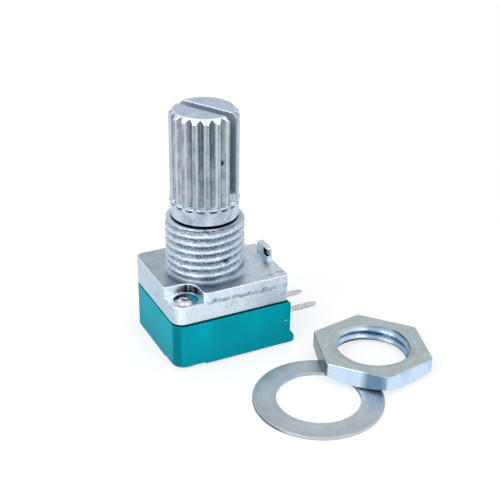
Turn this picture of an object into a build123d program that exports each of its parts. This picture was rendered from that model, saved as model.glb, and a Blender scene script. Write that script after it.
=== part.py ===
from build123d import *
import math
import os

# Switched rotary potentiometer with a slotted, splined shaft and its loose nut and washer.
# Millimetres. The origin is on the shaft's axis at the mounting face of the die-cast plate.
# +Z runs up the shaft and +X points at the three resistor terminals.

# Shaft
shaft_diameter = 6.0
shaft_length = 15.0
shaft_tip_chamfer = 0.45
journal_diameter = 5.0
journal_clearance = 0.05
shoulder_gap = 0.15
plain_band = 1.55
spline_teeth = 18
spline_depth = 0.40
spline_opening = 0.76
slot_width = 1.0
slot_depth = 7.2
slot_angle = -60.0
drive_diameter = 3.6
drive_flats = 2.6
drive_tail = 0.3
spigot_diameter = 1.6
spigot_end_gap = 0.15

# Rotation, in degrees. The travel is split evenly about the middle position.
travel_angle = 300.0
middle_angle = 60.0
stop_lug_angle = 16.0
stop_play_angle = 0.3

# Bushing and die-cast plate
thread_diameter = 7.0
thread_depth = 0.42
thread_pitch = 0.75
thread_tip_neck = 0.1
bushing_length = 5.2
bushing_flare = 0.35
bushing_foot_lip = 0.05
bushing_neck = 0.07
plate_left = 4.9
plate_right = 6.0
plate_half_width = 4.65
plate_thickness = 2.7
ceiling_thickness = 1.0
plate_corner_radius = 1.1
plate_side_radius = 0.7
plate_edge_radius = 0.25
cavity_radius = 3.5
pocket_depth = 0.9
pocket_radius = 1.25
pocket_x = 3.4
pocket_y = 3.45

# Locating lug, notched at its near end
lug_near_end = 1.43
lug_length = 2.13
lug_thickness = 0.5
lug_height = 1.12
lug_round = 0.45
lug_notch_depth = 0.3
lug_notch_length = 0.73
lug_notch_start = 0.35
lug_notch_height = 0.6

# Moulded case
case_left = 4.95
case_right = 6.3
case_half_width = 4.85
case_depth = 4.3
case_wall = 0.6
case_floor = 0.55
case_ledge = 0.35
case_shoulder_radius = 0.45
foot_reach = 0.35
foot_height = 1.2
foot_flat = 0.65
foot_width = 1.4
foot_edge = 0.15
pad_length = 1.8
pad_width = 1.2
pad_right = 4.9
pad_left = 3.4
pad_side = 3.4

# Rivets through the case's corner bosses
rivet_x = 3.5
rivet_y = 3.5
rivet_diameter = 0.84
rivet_head_diameter = 1.44
rivet_head_height = 0.40
rivet_rim_height = 0.15
rivet_flat_diameter = 0.72
rivet_dimple_diameter = 0.30
rivet_dimple_depth = 0.12
rivet_foot_diameter = 1.8
rivet_stand = 0.15
boss_diameter = 2.2
boss_spigot_diameter = 1.8
boss_spigot_drop = 0.25
foot_recess_depth = 0.35

# Resistor board, its films and its terminals
rotor_room = 1.5
board_thickness = 0.8
board_hole_diameter = 2.2
film_thickness = 0.05
track_radius = 3.0
track_width = 0.8
track_gap_angle = 30.0
collector_radius = 1.78
collector_width = 0.6
lead_width = 0.5
terminal_pitch = 2.5
terminal_x = 5.0
terminal_tip_x = 10.2
terminal_thickness = 0.25
terminal_width = 0.64
terminal_pad_width = 1.1
terminal_taper = 0.7
terminal_tip_width = 0.22
stake_width = 0.8
stake_length = 0.5
stake_head_width = 1.1
stake_head_length = 0.8
stake_head_height = 0.15

# Rotor pieces
ring_thickness = 0.30
ring_outer_diameter = 5.6
ring_groove_diameter = 4.2
ring_opening_angle = 70.0
ring_play = 0.08
groove_play = 0.02
land_below_groove = 0.35
carrier_hub_diameter = 5.6
carrier_flange_diameter = 7.1
carrier_flange_drop = 0.15
carrier_clearance = 0.6
stop_radius_gap = 0.1
spring_thickness = 0.1
spring_edge_gap = 0.1
spring_start_angle = -60.0
spring_end_angle = -12.0
contact_gap = 0.02
finger_width = 0.5
finger_root = 1.0
finger_root_width = 0.5
finger_bend = 0.1
finger_toe = 0.9
finger_curl = 0.35

# Switch in the chamber under the board
cam_gap = 0.10
cam_thickness = 0.40
cam_hub_diameter = 2.5
cam_finger_reach = 2.35
cam_finger_width = 0.7
finger_past_angle = 15.0
switch_swing_angle = 36.0
lever_gap = 0.15
lever_thickness = 0.40
lever_pivot_x = -3.0
lever_hub_diameter = 1.5
pivot_diameter = 0.8
pivot_clearance = 0.05
fork_reach = 1.35
fork_arm_width = 0.3
fork_play = 0.1
contact_arm_angle = 75.0
contact_arm_length = 3.1
contact_arm_width = 0.7
tail_angle = -105.0
tail_length = 1.5
tail_width = 0.6
bridge_thickness = 0.1
bridge_width = 0.5
dimple_diameter = 0.35
inner_contact_radius = 1.95
outer_contact_radius = 2.8
switch_strip_thickness = 0.2
switch_strip_width = 0.6
switch_pad_width = 0.7
switch_run_width = 0.5
switch_terminal_x = (-2.4, 0.1)
switch_terminal_length = 3.3
bearing_depth = 0.3
detent_thickness = 0.12
detent_height = 0.35
detent_gap = 0.06
detent_span = 1.1
rib_width = 0.35
rib_play = 0.1

# Loose mounting hardware, lying beside the part as it is supplied
washer_outer_diameter = 11.2
washer_inner_diameter = 7.2
washer_thickness = 0.3
washer_x = 4.3
washer_y = -13.6
nut_across_flats = 9.5
nut_thickness = 1.6
nut_bore_diameter = 6.24
nut_mouth_diameter = 7.1
nut_corner_chamfer = 0.35
nut_groove_width = 0.5
nut_distance = 7.6
nut_direction_angle = 23.0
nut_turn_angle = 12.5
lay_clearance = 0.01

fit_gap = 0.05
overshoot = 1.0

# Levels worked out from the sizes above
plate_bottom = -plate_thickness
case_bottom = plate_bottom - case_depth
floor_top = case_bottom + case_floor
board_top = plate_bottom - rotor_room
board_bottom = board_top - board_thickness
film_top = board_top + film_thickness
shoulder_level = bushing_length + shoulder_gap
spline_end = shoulder_level + plain_band
ring_top = -ceiling_thickness - ring_play
ring_bottom = ring_top - ring_thickness
carrier_top = ring_bottom - groove_play - land_below_groove
carrier_bottom = board_top + carrier_clearance
cam_top = board_bottom - cam_gap
cam_bottom = cam_top - cam_thickness
lever_top = cam_bottom - lever_gap
lever_bottom = lever_top - lever_thickness
bridge_bottom = lever_bottom - bridge_thickness
strip_top = floor_top + switch_strip_thickness
spigot_end = floor_top - bearing_depth + spigot_end_gap
stand_level = case_bottom - rivet_stand
foot_recess_top = case_bottom + foot_recess_depth
boss_spigot_top = -pocket_depth - boss_spigot_drop

# Angles worked out from the travel
wiper_angle = 180.0 - middle_angle
anticlockwise_limit = middle_angle + travel_angle / 2
stop_post_angle = 360.0 - travel_angle - stop_lug_angle - 2 * stop_play_angle
finger_angle = 180.0 + finger_past_angle - anticlockwise_limit
lever_angle = switch_swing_angle / 2
terminal_rows = (-terminal_pitch, 0.0, terminal_pitch)
rivet_places = ((-rivet_x, -rivet_y), (rivet_x, rivet_y))
pad_places = ((pad_right, -pad_side), (-pad_left, pad_side))


def block(x0, x1, y0, y1, z0, z1):
    return Pos((x0 + x1) / 2, (y0 + y1) / 2, (z0 + z1) / 2) * Box(x1 - x0, y1 - y0, z1 - z0)


def rod(radius, z0, z1, x=0.0, y=0.0):
    return Pos(x, y, (z0 + z1) / 2) * Cylinder(radius, z1 - z0)


def ring(outer, inner, z0, z1, x=0.0, y=0.0):
    return rod(outer, z0, z1, x, y) - rod(inner, z0 - overshoot, z1 + overshoot, x, y)


def sector(inner, outer, start, end, z0, z1):
    """A slice of a flat ring between two angles in degrees."""
    outside = CenterArc((0, 0), outer, start, end - start)
    inside = CenterArc((0, 0), inner, start, end - start)
    sides = [Line(inside @ 0, outside @ 0), Line(inside @ 1, outside @ 1)]
    face = make_face([outside, inside] + sides)
    return Pos(0, 0, z0) * extrude(face, z1 - z0)


def turned(points):
    """A solid of revolution about Z from radius and height pairs."""
    line = Polyline(*[(r, 0, z) for r, z in points], close=True)
    return revolve(make_face(line), Axis.Z, 360)


def arm(start, end, width, z0, z1):
    """A flat bar along +X with a round far end."""
    bar = block(start, end - width / 2, -width / 2, width / 2, z0, z1)
    return bar + rod(width / 2, z0, z1, end - width / 2)


def round_corner(solid, x, y, radius):
    """Round the upright edge that stands at one corner."""
    upright = solid.edges().filter_by(Axis.Z)
    nearest = min(upright, key=lambda e: math.hypot(e.center().X - x, e.center().Y - y))
    return fillet(nearest, radius)


def save(shape, name):
    export_step(shape, "parts/" + name + ".step")


def corner_cut(radius, z0, z1):
    """The recess that frees a rivet's end, open to the plate's near left corner."""
    far = plate_right + overshoot
    cut = rod(radius, z0, z1, -pocket_x, -pocket_y)
    cut += block(-far, -pocket_x, -far, -pocket_y + radius, z0, z1)
    return cut + block(-far, -pocket_x + radius, -far, -pocket_y, z0, z1)


def bushing_housing():
    body = block(-plate_left, plate_right, -plate_half_width, plate_half_width, plate_bottom, 0)
    for x, y, radius in ((-plate_left, -plate_half_width, plate_corner_radius),
                         (plate_right, plate_half_width, plate_corner_radius),
                         (-plate_left, plate_half_width, plate_side_radius),
                         (plate_right, -plate_half_width, plate_edge_radius)):
        body = round_corner(body, x, y, radius)
    pocket = corner_cut(pocket_radius, -pocket_depth, overshoot)
    body -= pocket
    body -= Rot(0, 0, 180) * pocket
    for x, y in rivet_places:
        body -= rod(boss_spigot_diameter / 2 + fit_gap, plate_bottom - overshoot, overshoot, x, y)

    # Hollow for the rotor, with the post that its stop lug meets
    hollow = rod(cavity_radius, plate_bottom - overshoot, -ceiling_thickness)
    post_inner = carrier_hub_diameter / 2 + stop_radius_gap + fit_gap
    hollow -= sector(post_inner, cavity_radius + overshoot, -stop_post_angle / 2,
                     stop_post_angle / 2, plate_bottom, -ceiling_thickness + overshoot)
    body -= hollow

    # Bushing with a flared foot; its thread is one V ring per turn of the pitch
    root = thread_diameter / 2 - thread_depth
    foot = thread_diameter / 2 + bushing_foot_lip
    outline = [(0, -ceiling_thickness), (foot, -ceiling_thickness), (foot, 0),
               (root, bushing_flare)]
    first = bushing_flare + bushing_neck
    turns = int((bushing_length - thread_tip_neck - first) / thread_pitch)
    for k in range(turns):
        low = first + k * thread_pitch
        outline += [(root, low), (thread_diameter / 2, low + thread_pitch / 2)]
    outline += [(root, first + turns * thread_pitch), (root, bushing_length),
                (0, bushing_length)]
    body += turned(outline)
    body -= rod(journal_diameter / 2 + journal_clearance, -plate_thickness - overshoot,
                bushing_length + overshoot)

    lug_left = plate_right - lug_thickness
    lug = block(lug_left, plate_right, -lug_near_end, lug_length - lug_near_end,
                -pocket_depth, lug_height)
    far_top = lug.edges().filter_by(Axis.X).sort_by(Axis.Z)[-2:].sort_by(Axis.Y)[-1]
    lug = fillet(far_top, lug_round)
    lug -= block(lug_left - overshoot, lug_left + lug_notch_depth, -lug_near_end - overshoot,
                 lug_notch_length - lug_near_end, lug_notch_start,
                 lug_notch_start + lug_notch_height)
    return body + lug


def case_body():
    body = block(-case_left, case_right, -case_half_width, case_half_width,
                 case_bottom, plate_bottom)
    body = round_corner(body, -case_left, -case_half_width, plate_corner_radius)
    body = round_corner(body, -case_left, case_half_width, plate_corner_radius)
    body = round_corner(body, case_right, -case_half_width, plate_edge_radius)
    body = round_corner(body, case_right, case_half_width, plate_edge_radius)

    # Round shoulder along the top edge over the terminals
    shoulder_x = case_right - case_shoulder_radius
    shoulder_z = plate_bottom - case_shoulder_radius
    far = case_half_width + overshoot
    shoulder = block(shoulder_x, case_right + overshoot, -far, far, shoulder_z,
                     plate_bottom + overshoot)
    shoulder -= Pos(shoulder_x, 0, shoulder_z) * Rot(90, 0, 0) * Cylinder(
        case_shoulder_radius, 2 * far + overshoot)
    body -= shoulder

    # Two standoff feet under the terminals' side
    foot_top = case_bottom + foot_height
    reach = case_right + foot_reach
    outline = Polyline((case_right - case_wall, 0, foot_top), (case_right, 0, foot_top),
                       (reach, 0, case_bottom + foot_flat), (reach, 0, case_bottom + foot_edge),
                       (reach - foot_edge, 0, case_bottom),
                       (case_right - case_wall, 0, case_bottom), close=True)
    foot = extrude(make_face(outline), foot_width, dir=(0, 1, 0))
    body += Pos(0, -case_half_width, 0) * foot
    body += Pos(0, case_half_width - foot_width, 0) * foot

    # Stepped hollow: the board rests on a ledge above the switch chamber
    inner_x0 = -case_left + case_wall
    inner_x1 = case_right - case_wall
    inner_y = case_half_width - case_wall
    hollow = block(inner_x0, inner_x1, -inner_y, inner_y, board_bottom, plate_bottom + overshoot)
    hollow += block(inner_x0 + case_ledge, inner_x1, -inner_y + case_ledge, inner_y - case_ledge,
                    floor_top, board_bottom + fit_gap)
    for x, y in rivet_places:
        hollow -= rod(boss_diameter / 2, case_bottom, plate_bottom + 2 * overshoot, x, y)
    body -= hollow
    for x, y in rivet_places:
        body += rod(boss_spigot_diameter / 2, plate_bottom - fit_gap, boss_spigot_top, x, y)
        body -= rod(rivet_diameter / 2, case_bottom - overshoot, overshoot, x, y)
    recess = corner_cut(pocket_radius, case_bottom - overshoot, foot_recess_top)
    body -= recess
    body -= Rot(0, 0, 180) * block(-rivet_x - pocket_radius, -rivet_x + pocket_radius,
                                   -rivet_y - pocket_radius, -rivet_y + pocket_radius,
                                   case_bottom - overshoot, foot_recess_top)
    for x, y in pad_places:
        body += block(x - pad_length / 2, x + pad_length / 2, y - pad_width / 2,
                      y + pad_width / 2, stand_level, case_bottom)

    # Slots that the terminals leave by
    for y in terminal_rows:
        half = terminal_width / 2 + fit_gap
        body -= block(inner_x1 - fit_gap, reach + overshoot, y - half, y + half,
                      board_bottom - terminal_thickness - fit_gap, board_bottom + fit_gap)
    for x in switch_terminal_x:
        half = switch_strip_width / 2 + fit_gap
        body -= block(x - half, x + half, inner_y - case_ledge - fit_gap,
                      case_half_width + overshoot, floor_top, strip_top + fit_gap)

    # Switch pivot, the shaft's tail bearing and the two ribs behind the detent spring
    body += rod(pivot_diameter / 2, floor_top - fit_gap, lever_top + fit_gap, lever_pivot_x)
    body -= rod(spigot_diameter / 2 + journal_clearance, floor_top - bearing_depth, floor_top)
    left, right = detent_ends()
    for x in (left - rib_play, right - rib_width):
        body += block(x, x + rib_width, detent_back() - rib_width, detent_back(),
                      floor_top - fit_gap, lever_top)
    return body


def resistor_board():
    x0 = -case_left + case_wall + fit_gap
    x1 = case_right - case_wall - fit_gap
    half = case_half_width - case_wall - fit_gap
    board = block(x0, x1, -half, half, board_bottom, board_top)
    for x, y in rivet_places:
        board -= rod(boss_diameter / 2 + fit_gap, board_bottom - overshoot,
                     board_top + overshoot, x, y)
    board -= rod(board_hole_diameter / 2, board_bottom - overshoot, board_top + overshoot)
    for y in terminal_rows:
        board -= stake(stake_length, stake_width, y, board_bottom - overshoot,
                       board_top + overshoot)
    return board


def stake(length, width, y, z0, z1):
    """A block on a terminal's stake: the stake itself, its slot or its spread head."""
    return block(terminal_x - length / 2, terminal_x + length / 2, y - width / 2,
                 y + width / 2, z0, z1)


def stake_head(y, z0, z1):
    return stake(stake_head_length, stake_head_width, y, z0, z1)


def resistive_track():
    half = track_width / 2
    return sector(track_radius - half, track_radius + half, track_gap_angle,
                  360 - track_gap_angle, board_top, film_top)


def track_leads():
    """The two silver leads from the track's ends to the outer terminals' heads."""
    reach = track_radius + track_width / 2
    leads = []
    for side in (-1, 1):
        angle = math.radians(track_gap_angle)
        start = (reach * math.cos(angle), side * reach * math.sin(angle))
        end = (terminal_x, side * terminal_pitch)
        length = math.hypot(end[0] - start[0], end[1] - start[1])
        turn = math.degrees(math.atan2(end[1] - start[1], end[0] - start[0]))
        lead = block(0, length, -lead_width / 2, lead_width / 2, board_top, film_top)
        lead = Pos(start[0], start[1], 0) * Rot(0, 0, turn) * lead
        lead -= stake_head(end[1], board_top - overshoot, film_top + overshoot)
        lead -= rod(reach, board_top - overshoot, film_top + overshoot)
        leads.append(lead.solids()[0])
    return Compound(children=leads)


def collector_ring():
    half = collector_width / 2
    film = ring(collector_radius + half, collector_radius - half, board_top, film_top)
    film += block(collector_radius, terminal_x, -half, half, board_top, film_top)
    return film - stake_head(0, board_top - overshoot, film_top + overshoot)


def pot_terminal(y):
    """A flat pin with a tapered tip, staked through a slot in the board."""
    half = terminal_width / 2
    low = board_bottom - terminal_thickness
    tip = terminal_tip_width / 2
    outline = Polyline((terminal_x, -half), (terminal_tip_x - terminal_taper, -half),
                       (terminal_tip_x, -tip), (terminal_tip_x, tip),
                       (terminal_tip_x - terminal_taper, half), (terminal_x, half), close=True)
    pin = Pos(0, y, low) * extrude(make_face(outline), terminal_thickness)
    pin += stake(terminal_pad_width, terminal_pad_width, y, low, board_bottom)
    pin += stake(stake_length, stake_width, y, low, board_top)
    return pin + stake_head(y, board_top, board_top + stake_head_height)


def case_rivets():
    """Domed heads with a centre dimple on top, and flat formed ends that the part stands on."""
    shank = rivet_diameter / 2
    head = rivet_head_diameter / 2
    foot = rivet_foot_diameter / 2
    crown = boss_spigot_top + rivet_head_height
    profile = turned([(0, stand_level), (foot, stand_level), (foot, foot_recess_top),
                      (shank, foot_recess_top), (shank, boss_spigot_top),
                      (head, boss_spigot_top), (head, boss_spigot_top + rivet_rim_height),
                      (rivet_flat_diameter / 2, crown), (rivet_dimple_diameter / 2, crown),
                      (rivet_dimple_diameter / 2, crown - rivet_dimple_depth),
                      (0, crown - rivet_dimple_depth)])
    return Compound(children=[(Pos(x, y, 0) * profile).solids()[0] for x, y in rivet_places])


def shaft():
    radius = shaft_diameter / 2
    journal = journal_diameter / 2
    groove = ring_groove_diameter / 2
    body = turned([(0, carrier_top), (journal, carrier_top),
                   (journal, ring_bottom - groove_play), (groove, ring_bottom - groove_play),
                   (groove, ring_top + groove_play), (journal, ring_top + groove_play),
                   (journal, shoulder_level), (radius, shoulder_level),
                   (radius, shaft_length - shaft_tip_chamfer),
                   (radius - shaft_tip_chamfer, shaft_length), (0, shaft_length)])

    # Spline: equal V grooves that stop above the plain band
    root = radius - spline_depth
    slope = spline_opening / 2 / spline_depth
    mouth = radius + spline_depth
    half = (mouth - root) * slope
    groove_face = make_face(Polyline((root, 0), (mouth, -half), (mouth, half), close=True))
    cutter = Pos(0, 0, spline_end) * extrude(groove_face, shaft_length)
    pitch = 360 / spline_teeth
    body -= [Rot(0, 0, slot_angle + k * pitch) * cutter for k in range(spline_teeth)]

    slot = block(-shaft_diameter, shaft_diameter, -slot_width / 2, slot_width / 2,
                 shaft_length - slot_depth, shaft_length + overshoot)
    body -= Rot(0, 0, slot_angle) * slot

    # Flatted drive for the wiper carrier, then the spigot that turns the switch cam
    drive = rod(drive_diameter / 2, carrier_bottom - drive_tail, carrier_top)
    drive &= block(-drive_diameter, drive_diameter, -drive_flats / 2, drive_flats / 2,
                   carrier_bottom - overshoot, carrier_top)
    body += Rot(0, 0, wiper_angle + 90) * drive
    return body + rod(spigot_diameter / 2, spigot_end, carrier_bottom)


def retaining_ring():
    half = ring_opening_angle / 2
    return sector(ring_groove_diameter / 2 + groove_play, ring_outer_diameter / 2,
                  wiper_angle + half, wiper_angle + 360 - half, ring_bottom, ring_top)


def wiper_carrier():
    hub = carrier_hub_diameter / 2
    body = rod(hub, carrier_bottom, carrier_top)
    body += rod(carrier_flange_diameter / 2, carrier_bottom, plate_bottom - carrier_flange_drop)
    lug = sector(hub - fit_gap, cavity_radius - stop_radius_gap, -stop_lug_angle / 2,
                 stop_lug_angle / 2, plate_bottom - carrier_flange_drop, carrier_top)
    body += Rot(0, 0, wiper_angle) * lug
    drive = rod(drive_diameter / 2, carrier_bottom - overshoot, carrier_top + overshoot)
    drive &= block(-drive_diameter, drive_diameter, -drive_flats / 2, drive_flats / 2,
                   carrier_bottom - overshoot, carrier_top + overshoot)
    return body - Rot(0, 0, wiper_angle + 90) * drive


def finger(radius):
    """A bent contact finger that runs across the given radius and touches down on its film."""
    high = carrier_bottom
    low = film_top + contact_gap
    thick = spring_thickness
    toe = finger_toe
    tip = finger_toe + finger_curl
    points = ((-finger_root, high), (-finger_bend, high), (toe, low + thick),
              (tip - thick, low + 3 * thick), (tip, low + 2 * thick), (toe + thick / 2, low),
              (toe - thick / 2, low), (-finger_bend - thick, high - thick),
              (-finger_root, high - thick))
    face = make_face(Polyline(*[(radius - finger_width / 2, s, z) for s, z in points], close=True))
    return extrude(face, finger_width, dir=(1, 0, 0))


def wiper_spring():
    inner = drive_diameter / 2 + spring_edge_gap
    outer = carrier_flange_diameter / 2 - spring_edge_gap
    high = carrier_bottom
    plate = sector(inner, outer, spring_start_angle, spring_end_angle, high - spring_thickness, high)
    plate += block(drive_flats / 2 + fit_gap, inner + finger_width, -finger_root,
                   finger_root_width - finger_root, high - spring_thickness, high)
    plate += finger(track_radius) + finger(collector_radius)
    return Rot(0, 0, wiper_angle) * plate


def switch_cam():
    body = rod(cam_hub_diameter / 2, cam_bottom, cam_top)
    body += Rot(0, 0, finger_angle) * arm(0, cam_finger_reach, cam_finger_width,
                                          cam_bottom, cam_top)
    return body - rod(spigot_diameter / 2, cam_bottom - overshoot, cam_top + overshoot)


def on_lever(shape):
    """Place a shape that is drawn about the lever's pivot with the fork along +X."""
    return Pos(lever_pivot_x, 0, 0) * Rot(0, 0, lever_angle) * shape


def switch_lever():
    slot = cam_finger_width + fork_play
    fork_width = slot + 2 * fork_arm_width
    body = rod(lever_hub_diameter / 2, lever_bottom, lever_top)
    body += block(0, fork_reach, -fork_width / 2, fork_width / 2, lever_bottom, lever_top)
    body -= block(lever_hub_diameter / 2, fork_reach + overshoot, -slot / 2, slot / 2,
                  lever_bottom - overshoot, lever_top + overshoot)
    body += Rot(0, 0, contact_arm_angle) * arm(0, contact_arm_length, contact_arm_width,
                                               lever_bottom, lever_top)
    body += Rot(0, 0, tail_angle) * arm(0, tail_length, tail_width, lever_bottom, lever_top)
    body -= rod(pivot_diameter / 2 + pivot_clearance, lever_bottom - overshoot,
                lever_top + overshoot)
    return on_lever(body)


def switch_contact_bridge():
    """A springy strip under the lever's long arm, with one dimple for each fixed contact."""
    dimple = dimple_diameter / 2
    strip = block(inner_contact_radius - dimple - fit_gap, outer_contact_radius + dimple,
                  -bridge_width / 2, bridge_width / 2, bridge_bottom, lever_bottom)
    for radius in (inner_contact_radius, outer_contact_radius):
        strip += rod(dimple, strip_top + contact_gap, bridge_bottom, radius)
    return on_lever(Rot(0, 0, contact_arm_angle) * strip)


def switch_terminal(radius, exit_x):
    """A floor strip from under one dimple to a pin that leaves by the far wall."""
    angle = math.radians(contact_arm_angle + lever_angle)
    contact_x = lever_pivot_x + radius * math.cos(angle)
    contact_y = radius * math.sin(angle)
    half = switch_strip_width / 2
    tip = terminal_tip_width / 2
    run = block(contact_x - switch_pad_width / 2, exit_x + half,
                contact_y - switch_run_width / 2, contact_y + switch_run_width / 2,
                floor_top, strip_top)
    end = case_half_width + switch_terminal_length
    pin = Polyline((exit_x - half, contact_y), (exit_x - half, end - terminal_taper),
                   (exit_x - tip, end), (exit_x + tip, end),
                   (exit_x + half, end - terminal_taper), (exit_x + half, contact_y),
                   close=True)
    return run + Pos(0, 0, floor_top) * extrude(make_face(pin), switch_strip_thickness)


def detent_apex():
    """Where the detent's bump points: halfway round the tail's swing, just past its tip."""
    angle = math.radians(tail_angle)
    reach = tail_length + detent_gap
    return lever_pivot_x + reach * math.cos(angle), reach * math.sin(angle)


def detent_back():
    return detent_apex()[1] - detent_height - detent_thickness - contact_gap


def detent_ends():
    return -case_left + case_wall + case_ledge + fit_gap, detent_apex()[0] + detent_span


def switch_detent_spring():
    x, y = detent_apex()
    front = y - detent_height
    back = front - detent_thickness
    side = detent_height
    inner_side = side + detent_thickness * (math.sqrt(2) - 1)
    inner_apex = y - detent_thickness * math.sqrt(2)
    left, right = detent_ends()
    outline = Polyline((left, front), (x - side, front), (x, y), (x + side, front),
                       (right, front), (right, back), (x + inner_side, back),
                       (x, inner_apex), (x - inner_side, back), (left, back), close=True)
    height = lever_top - floor_top
    return Pos(0, 0, floor_top) * extrude(make_face(outline), height)


def flat_washer():
    return ring(washer_outer_diameter / 2, washer_inner_diameter / 2, stand_level,
                stand_level + washer_thickness, washer_x, washer_y)


def hex_nut():
    """A thin nut, its chamfered side down, that leans with one side on the washer's rim."""
    body = extrude(RegularPolygon(nut_across_flats / 2, 6, major_radius=False), nut_thickness)
    body = Rot(0, 0, nut_turn_angle - nut_direction_angle) * body
    flat = nut_across_flats / 2
    corner = flat / math.cos(math.radians(30))
    body &= turned([(0, 0), (flat - fit_gap, 0), (corner, nut_corner_chamfer),
                    (corner + overshoot, nut_corner_chamfer), (corner + overshoot, nut_thickness),
                    (0, nut_thickness)])
    bore = nut_bore_diameter / 2
    mouth = nut_mouth_diameter / 2
    lead = mouth - bore
    half = nut_groove_width / 2
    body -= turned([(0, -overshoot), (mouth, -overshoot), (mouth, 0), (bore, lead),
                    (bore, nut_thickness / 2 - half), (thread_diameter / 2, nut_thickness / 2),
                    (bore, nut_thickness / 2 + half), (bore, nut_thickness - lead),
                    (mouth, nut_thickness), (mouth, nut_thickness + overshoot),
                    (0, nut_thickness + overshoot)])

    # Lean: the far edge of the chamfered face is on the floor, the near side on the washer
    edge = flat - fit_gap
    to_rim = nut_distance - washer_outer_diameter / 2
    lean = math.atan(washer_thickness / (to_rim + edge))
    lift = stand_level + edge * math.sin(lean) + lay_clearance
    x = washer_x + nut_distance * math.cos(math.radians(nut_direction_angle))
    y = washer_y + nut_distance * math.sin(math.radians(nut_direction_angle))
    place = Pos(x, y, lift) * Rot(0, 0, nut_direction_angle) * Rot(0, math.degrees(lean), 0)
    return place * body


def main():
    os.makedirs("parts", exist_ok=True)
    save(bushing_housing(), "bushing_housing")
    save(case_body(), "case_body")
    save(resistor_board(), "resistor_board")
    save(resistive_track(), "resistive_track")
    save(track_leads(), "track_leads")
    save(collector_ring(), "collector_ring")
    for number, y in enumerate(terminal_rows, start=1):
        save(pot_terminal(y), "pot_terminal_%d" % number)
    save(case_rivets(), "case_rivets")
    save(shaft(), "shaft")
    save(retaining_ring(), "retaining_ring")
    save(wiper_carrier(), "wiper_carrier")
    save(wiper_spring(), "wiper_spring")
    save(switch_cam(), "switch_cam")
    save(switch_lever(), "switch_lever")
    save(switch_contact_bridge(), "switch_contact_bridge")
    contact_radii = (outer_contact_radius, inner_contact_radius)
    for number, x in enumerate(switch_terminal_x, start=1):
        save(switch_terminal(contact_radii[number - 1], x), "switch_terminal_%d" % number)
    save(switch_detent_spring(), "switch_detent_spring")
    save(flat_washer(), "flat_washer")
    save(hex_nut(), "hex_nut")


main()
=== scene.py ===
import math

import bpy
from bpy.props import FloatProperty, FloatVectorProperty, IntProperty, PointerProperty
from mathutils import Matrix, Vector, noise


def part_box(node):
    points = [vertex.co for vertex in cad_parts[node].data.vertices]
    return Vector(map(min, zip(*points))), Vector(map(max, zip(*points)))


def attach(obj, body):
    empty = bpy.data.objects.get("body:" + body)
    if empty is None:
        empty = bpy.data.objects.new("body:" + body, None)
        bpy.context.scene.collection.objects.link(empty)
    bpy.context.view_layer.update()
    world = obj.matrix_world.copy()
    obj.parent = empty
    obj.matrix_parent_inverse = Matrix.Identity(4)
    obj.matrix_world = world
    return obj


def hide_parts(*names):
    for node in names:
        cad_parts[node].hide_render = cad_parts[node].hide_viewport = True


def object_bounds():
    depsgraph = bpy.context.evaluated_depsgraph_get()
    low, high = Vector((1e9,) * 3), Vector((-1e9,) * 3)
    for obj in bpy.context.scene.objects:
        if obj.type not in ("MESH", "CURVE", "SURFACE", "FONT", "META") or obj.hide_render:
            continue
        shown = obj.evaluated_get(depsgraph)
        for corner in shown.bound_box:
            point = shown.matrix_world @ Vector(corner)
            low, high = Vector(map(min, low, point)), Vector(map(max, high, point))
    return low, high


bl_info = {
    "name": "Switched potentiometer",
    "version": (1, 0, 0),
    "blender": (4, 5, 0),
    "location": "View3D > Sidebar > Potentiometer",
    "description": "A small splined-shaft potentiometer with its loose nut and washer",
    "category": "Add Mesh",
}

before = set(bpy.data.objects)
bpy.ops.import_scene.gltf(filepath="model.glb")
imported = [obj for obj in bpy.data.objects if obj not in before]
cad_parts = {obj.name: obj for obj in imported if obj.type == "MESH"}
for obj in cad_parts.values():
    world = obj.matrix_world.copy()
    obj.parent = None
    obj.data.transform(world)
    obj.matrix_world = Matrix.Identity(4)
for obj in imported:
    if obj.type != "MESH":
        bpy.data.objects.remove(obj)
CAD_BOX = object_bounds()

# Meshes are worked out in millimetres and turned to metres when they are placed.
MM = 1000.0
RIVETS = ((-3.5, -3.5), (3.5, 3.5))
# The wells stand a little nearer the shaft than the rivets in them.
WELLS = ((-3.38, -3.38), (3.38, 3.38))
# Round wall of the near corner pocket: x, y and radius
POCKET = (-3.4, -3.45, 1.25)
# How far the cutters reach past the part's outside
PAST = 8.0
PIN_ROWS = (-2.5, 0.0, 2.5)
SWITCH_ROWS = (-2.4, 0.1)
SLOT_ANGLE = math.radians(-60)
SLOT_SIDE = (math.sin(SLOT_ANGLE), -math.cos(SLOT_ANGLE), 0.0)


def linear(code):
    """An sRGB hex colour as linear red, green, blue and alpha."""
    parts = [int(code[i:i + 2], 16) / 255 for i in (1, 3, 5)]
    return tuple(c / 12.92 if c <= 0.04045 else ((c + 0.055) / 1.055) ** 2.4 for c in parts) + (1.0,)


def length(name, description, mm):
    """A length that a user may change, given in millimetres."""
    return FloatProperty(name=name, description=description, default=mm / MM, min=0.0,
                         precision=5, unit='LENGTH')


def colour(name, description, code):
    """A colour that a user may change, given as sRGB hex."""
    return FloatVectorProperty(name=name, description=description, default=linear(code), size=4,
                               min=0.0, max=1.0, subtype='COLOR')


class BushingSizes(bpy.types.PropertyGroup):
    pitch: length("Thread pitch", "Distance from one crest to the next", 0.75)
    depth: length("Thread depth", "Height of the crests over the roots", 0.42)
    rag: length("Ragged crests", "How far the cast crests stray from true", 0.08)
    flare: length("Base flare", "Radius of the fillet between bushing and plate", 0.40)


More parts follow.
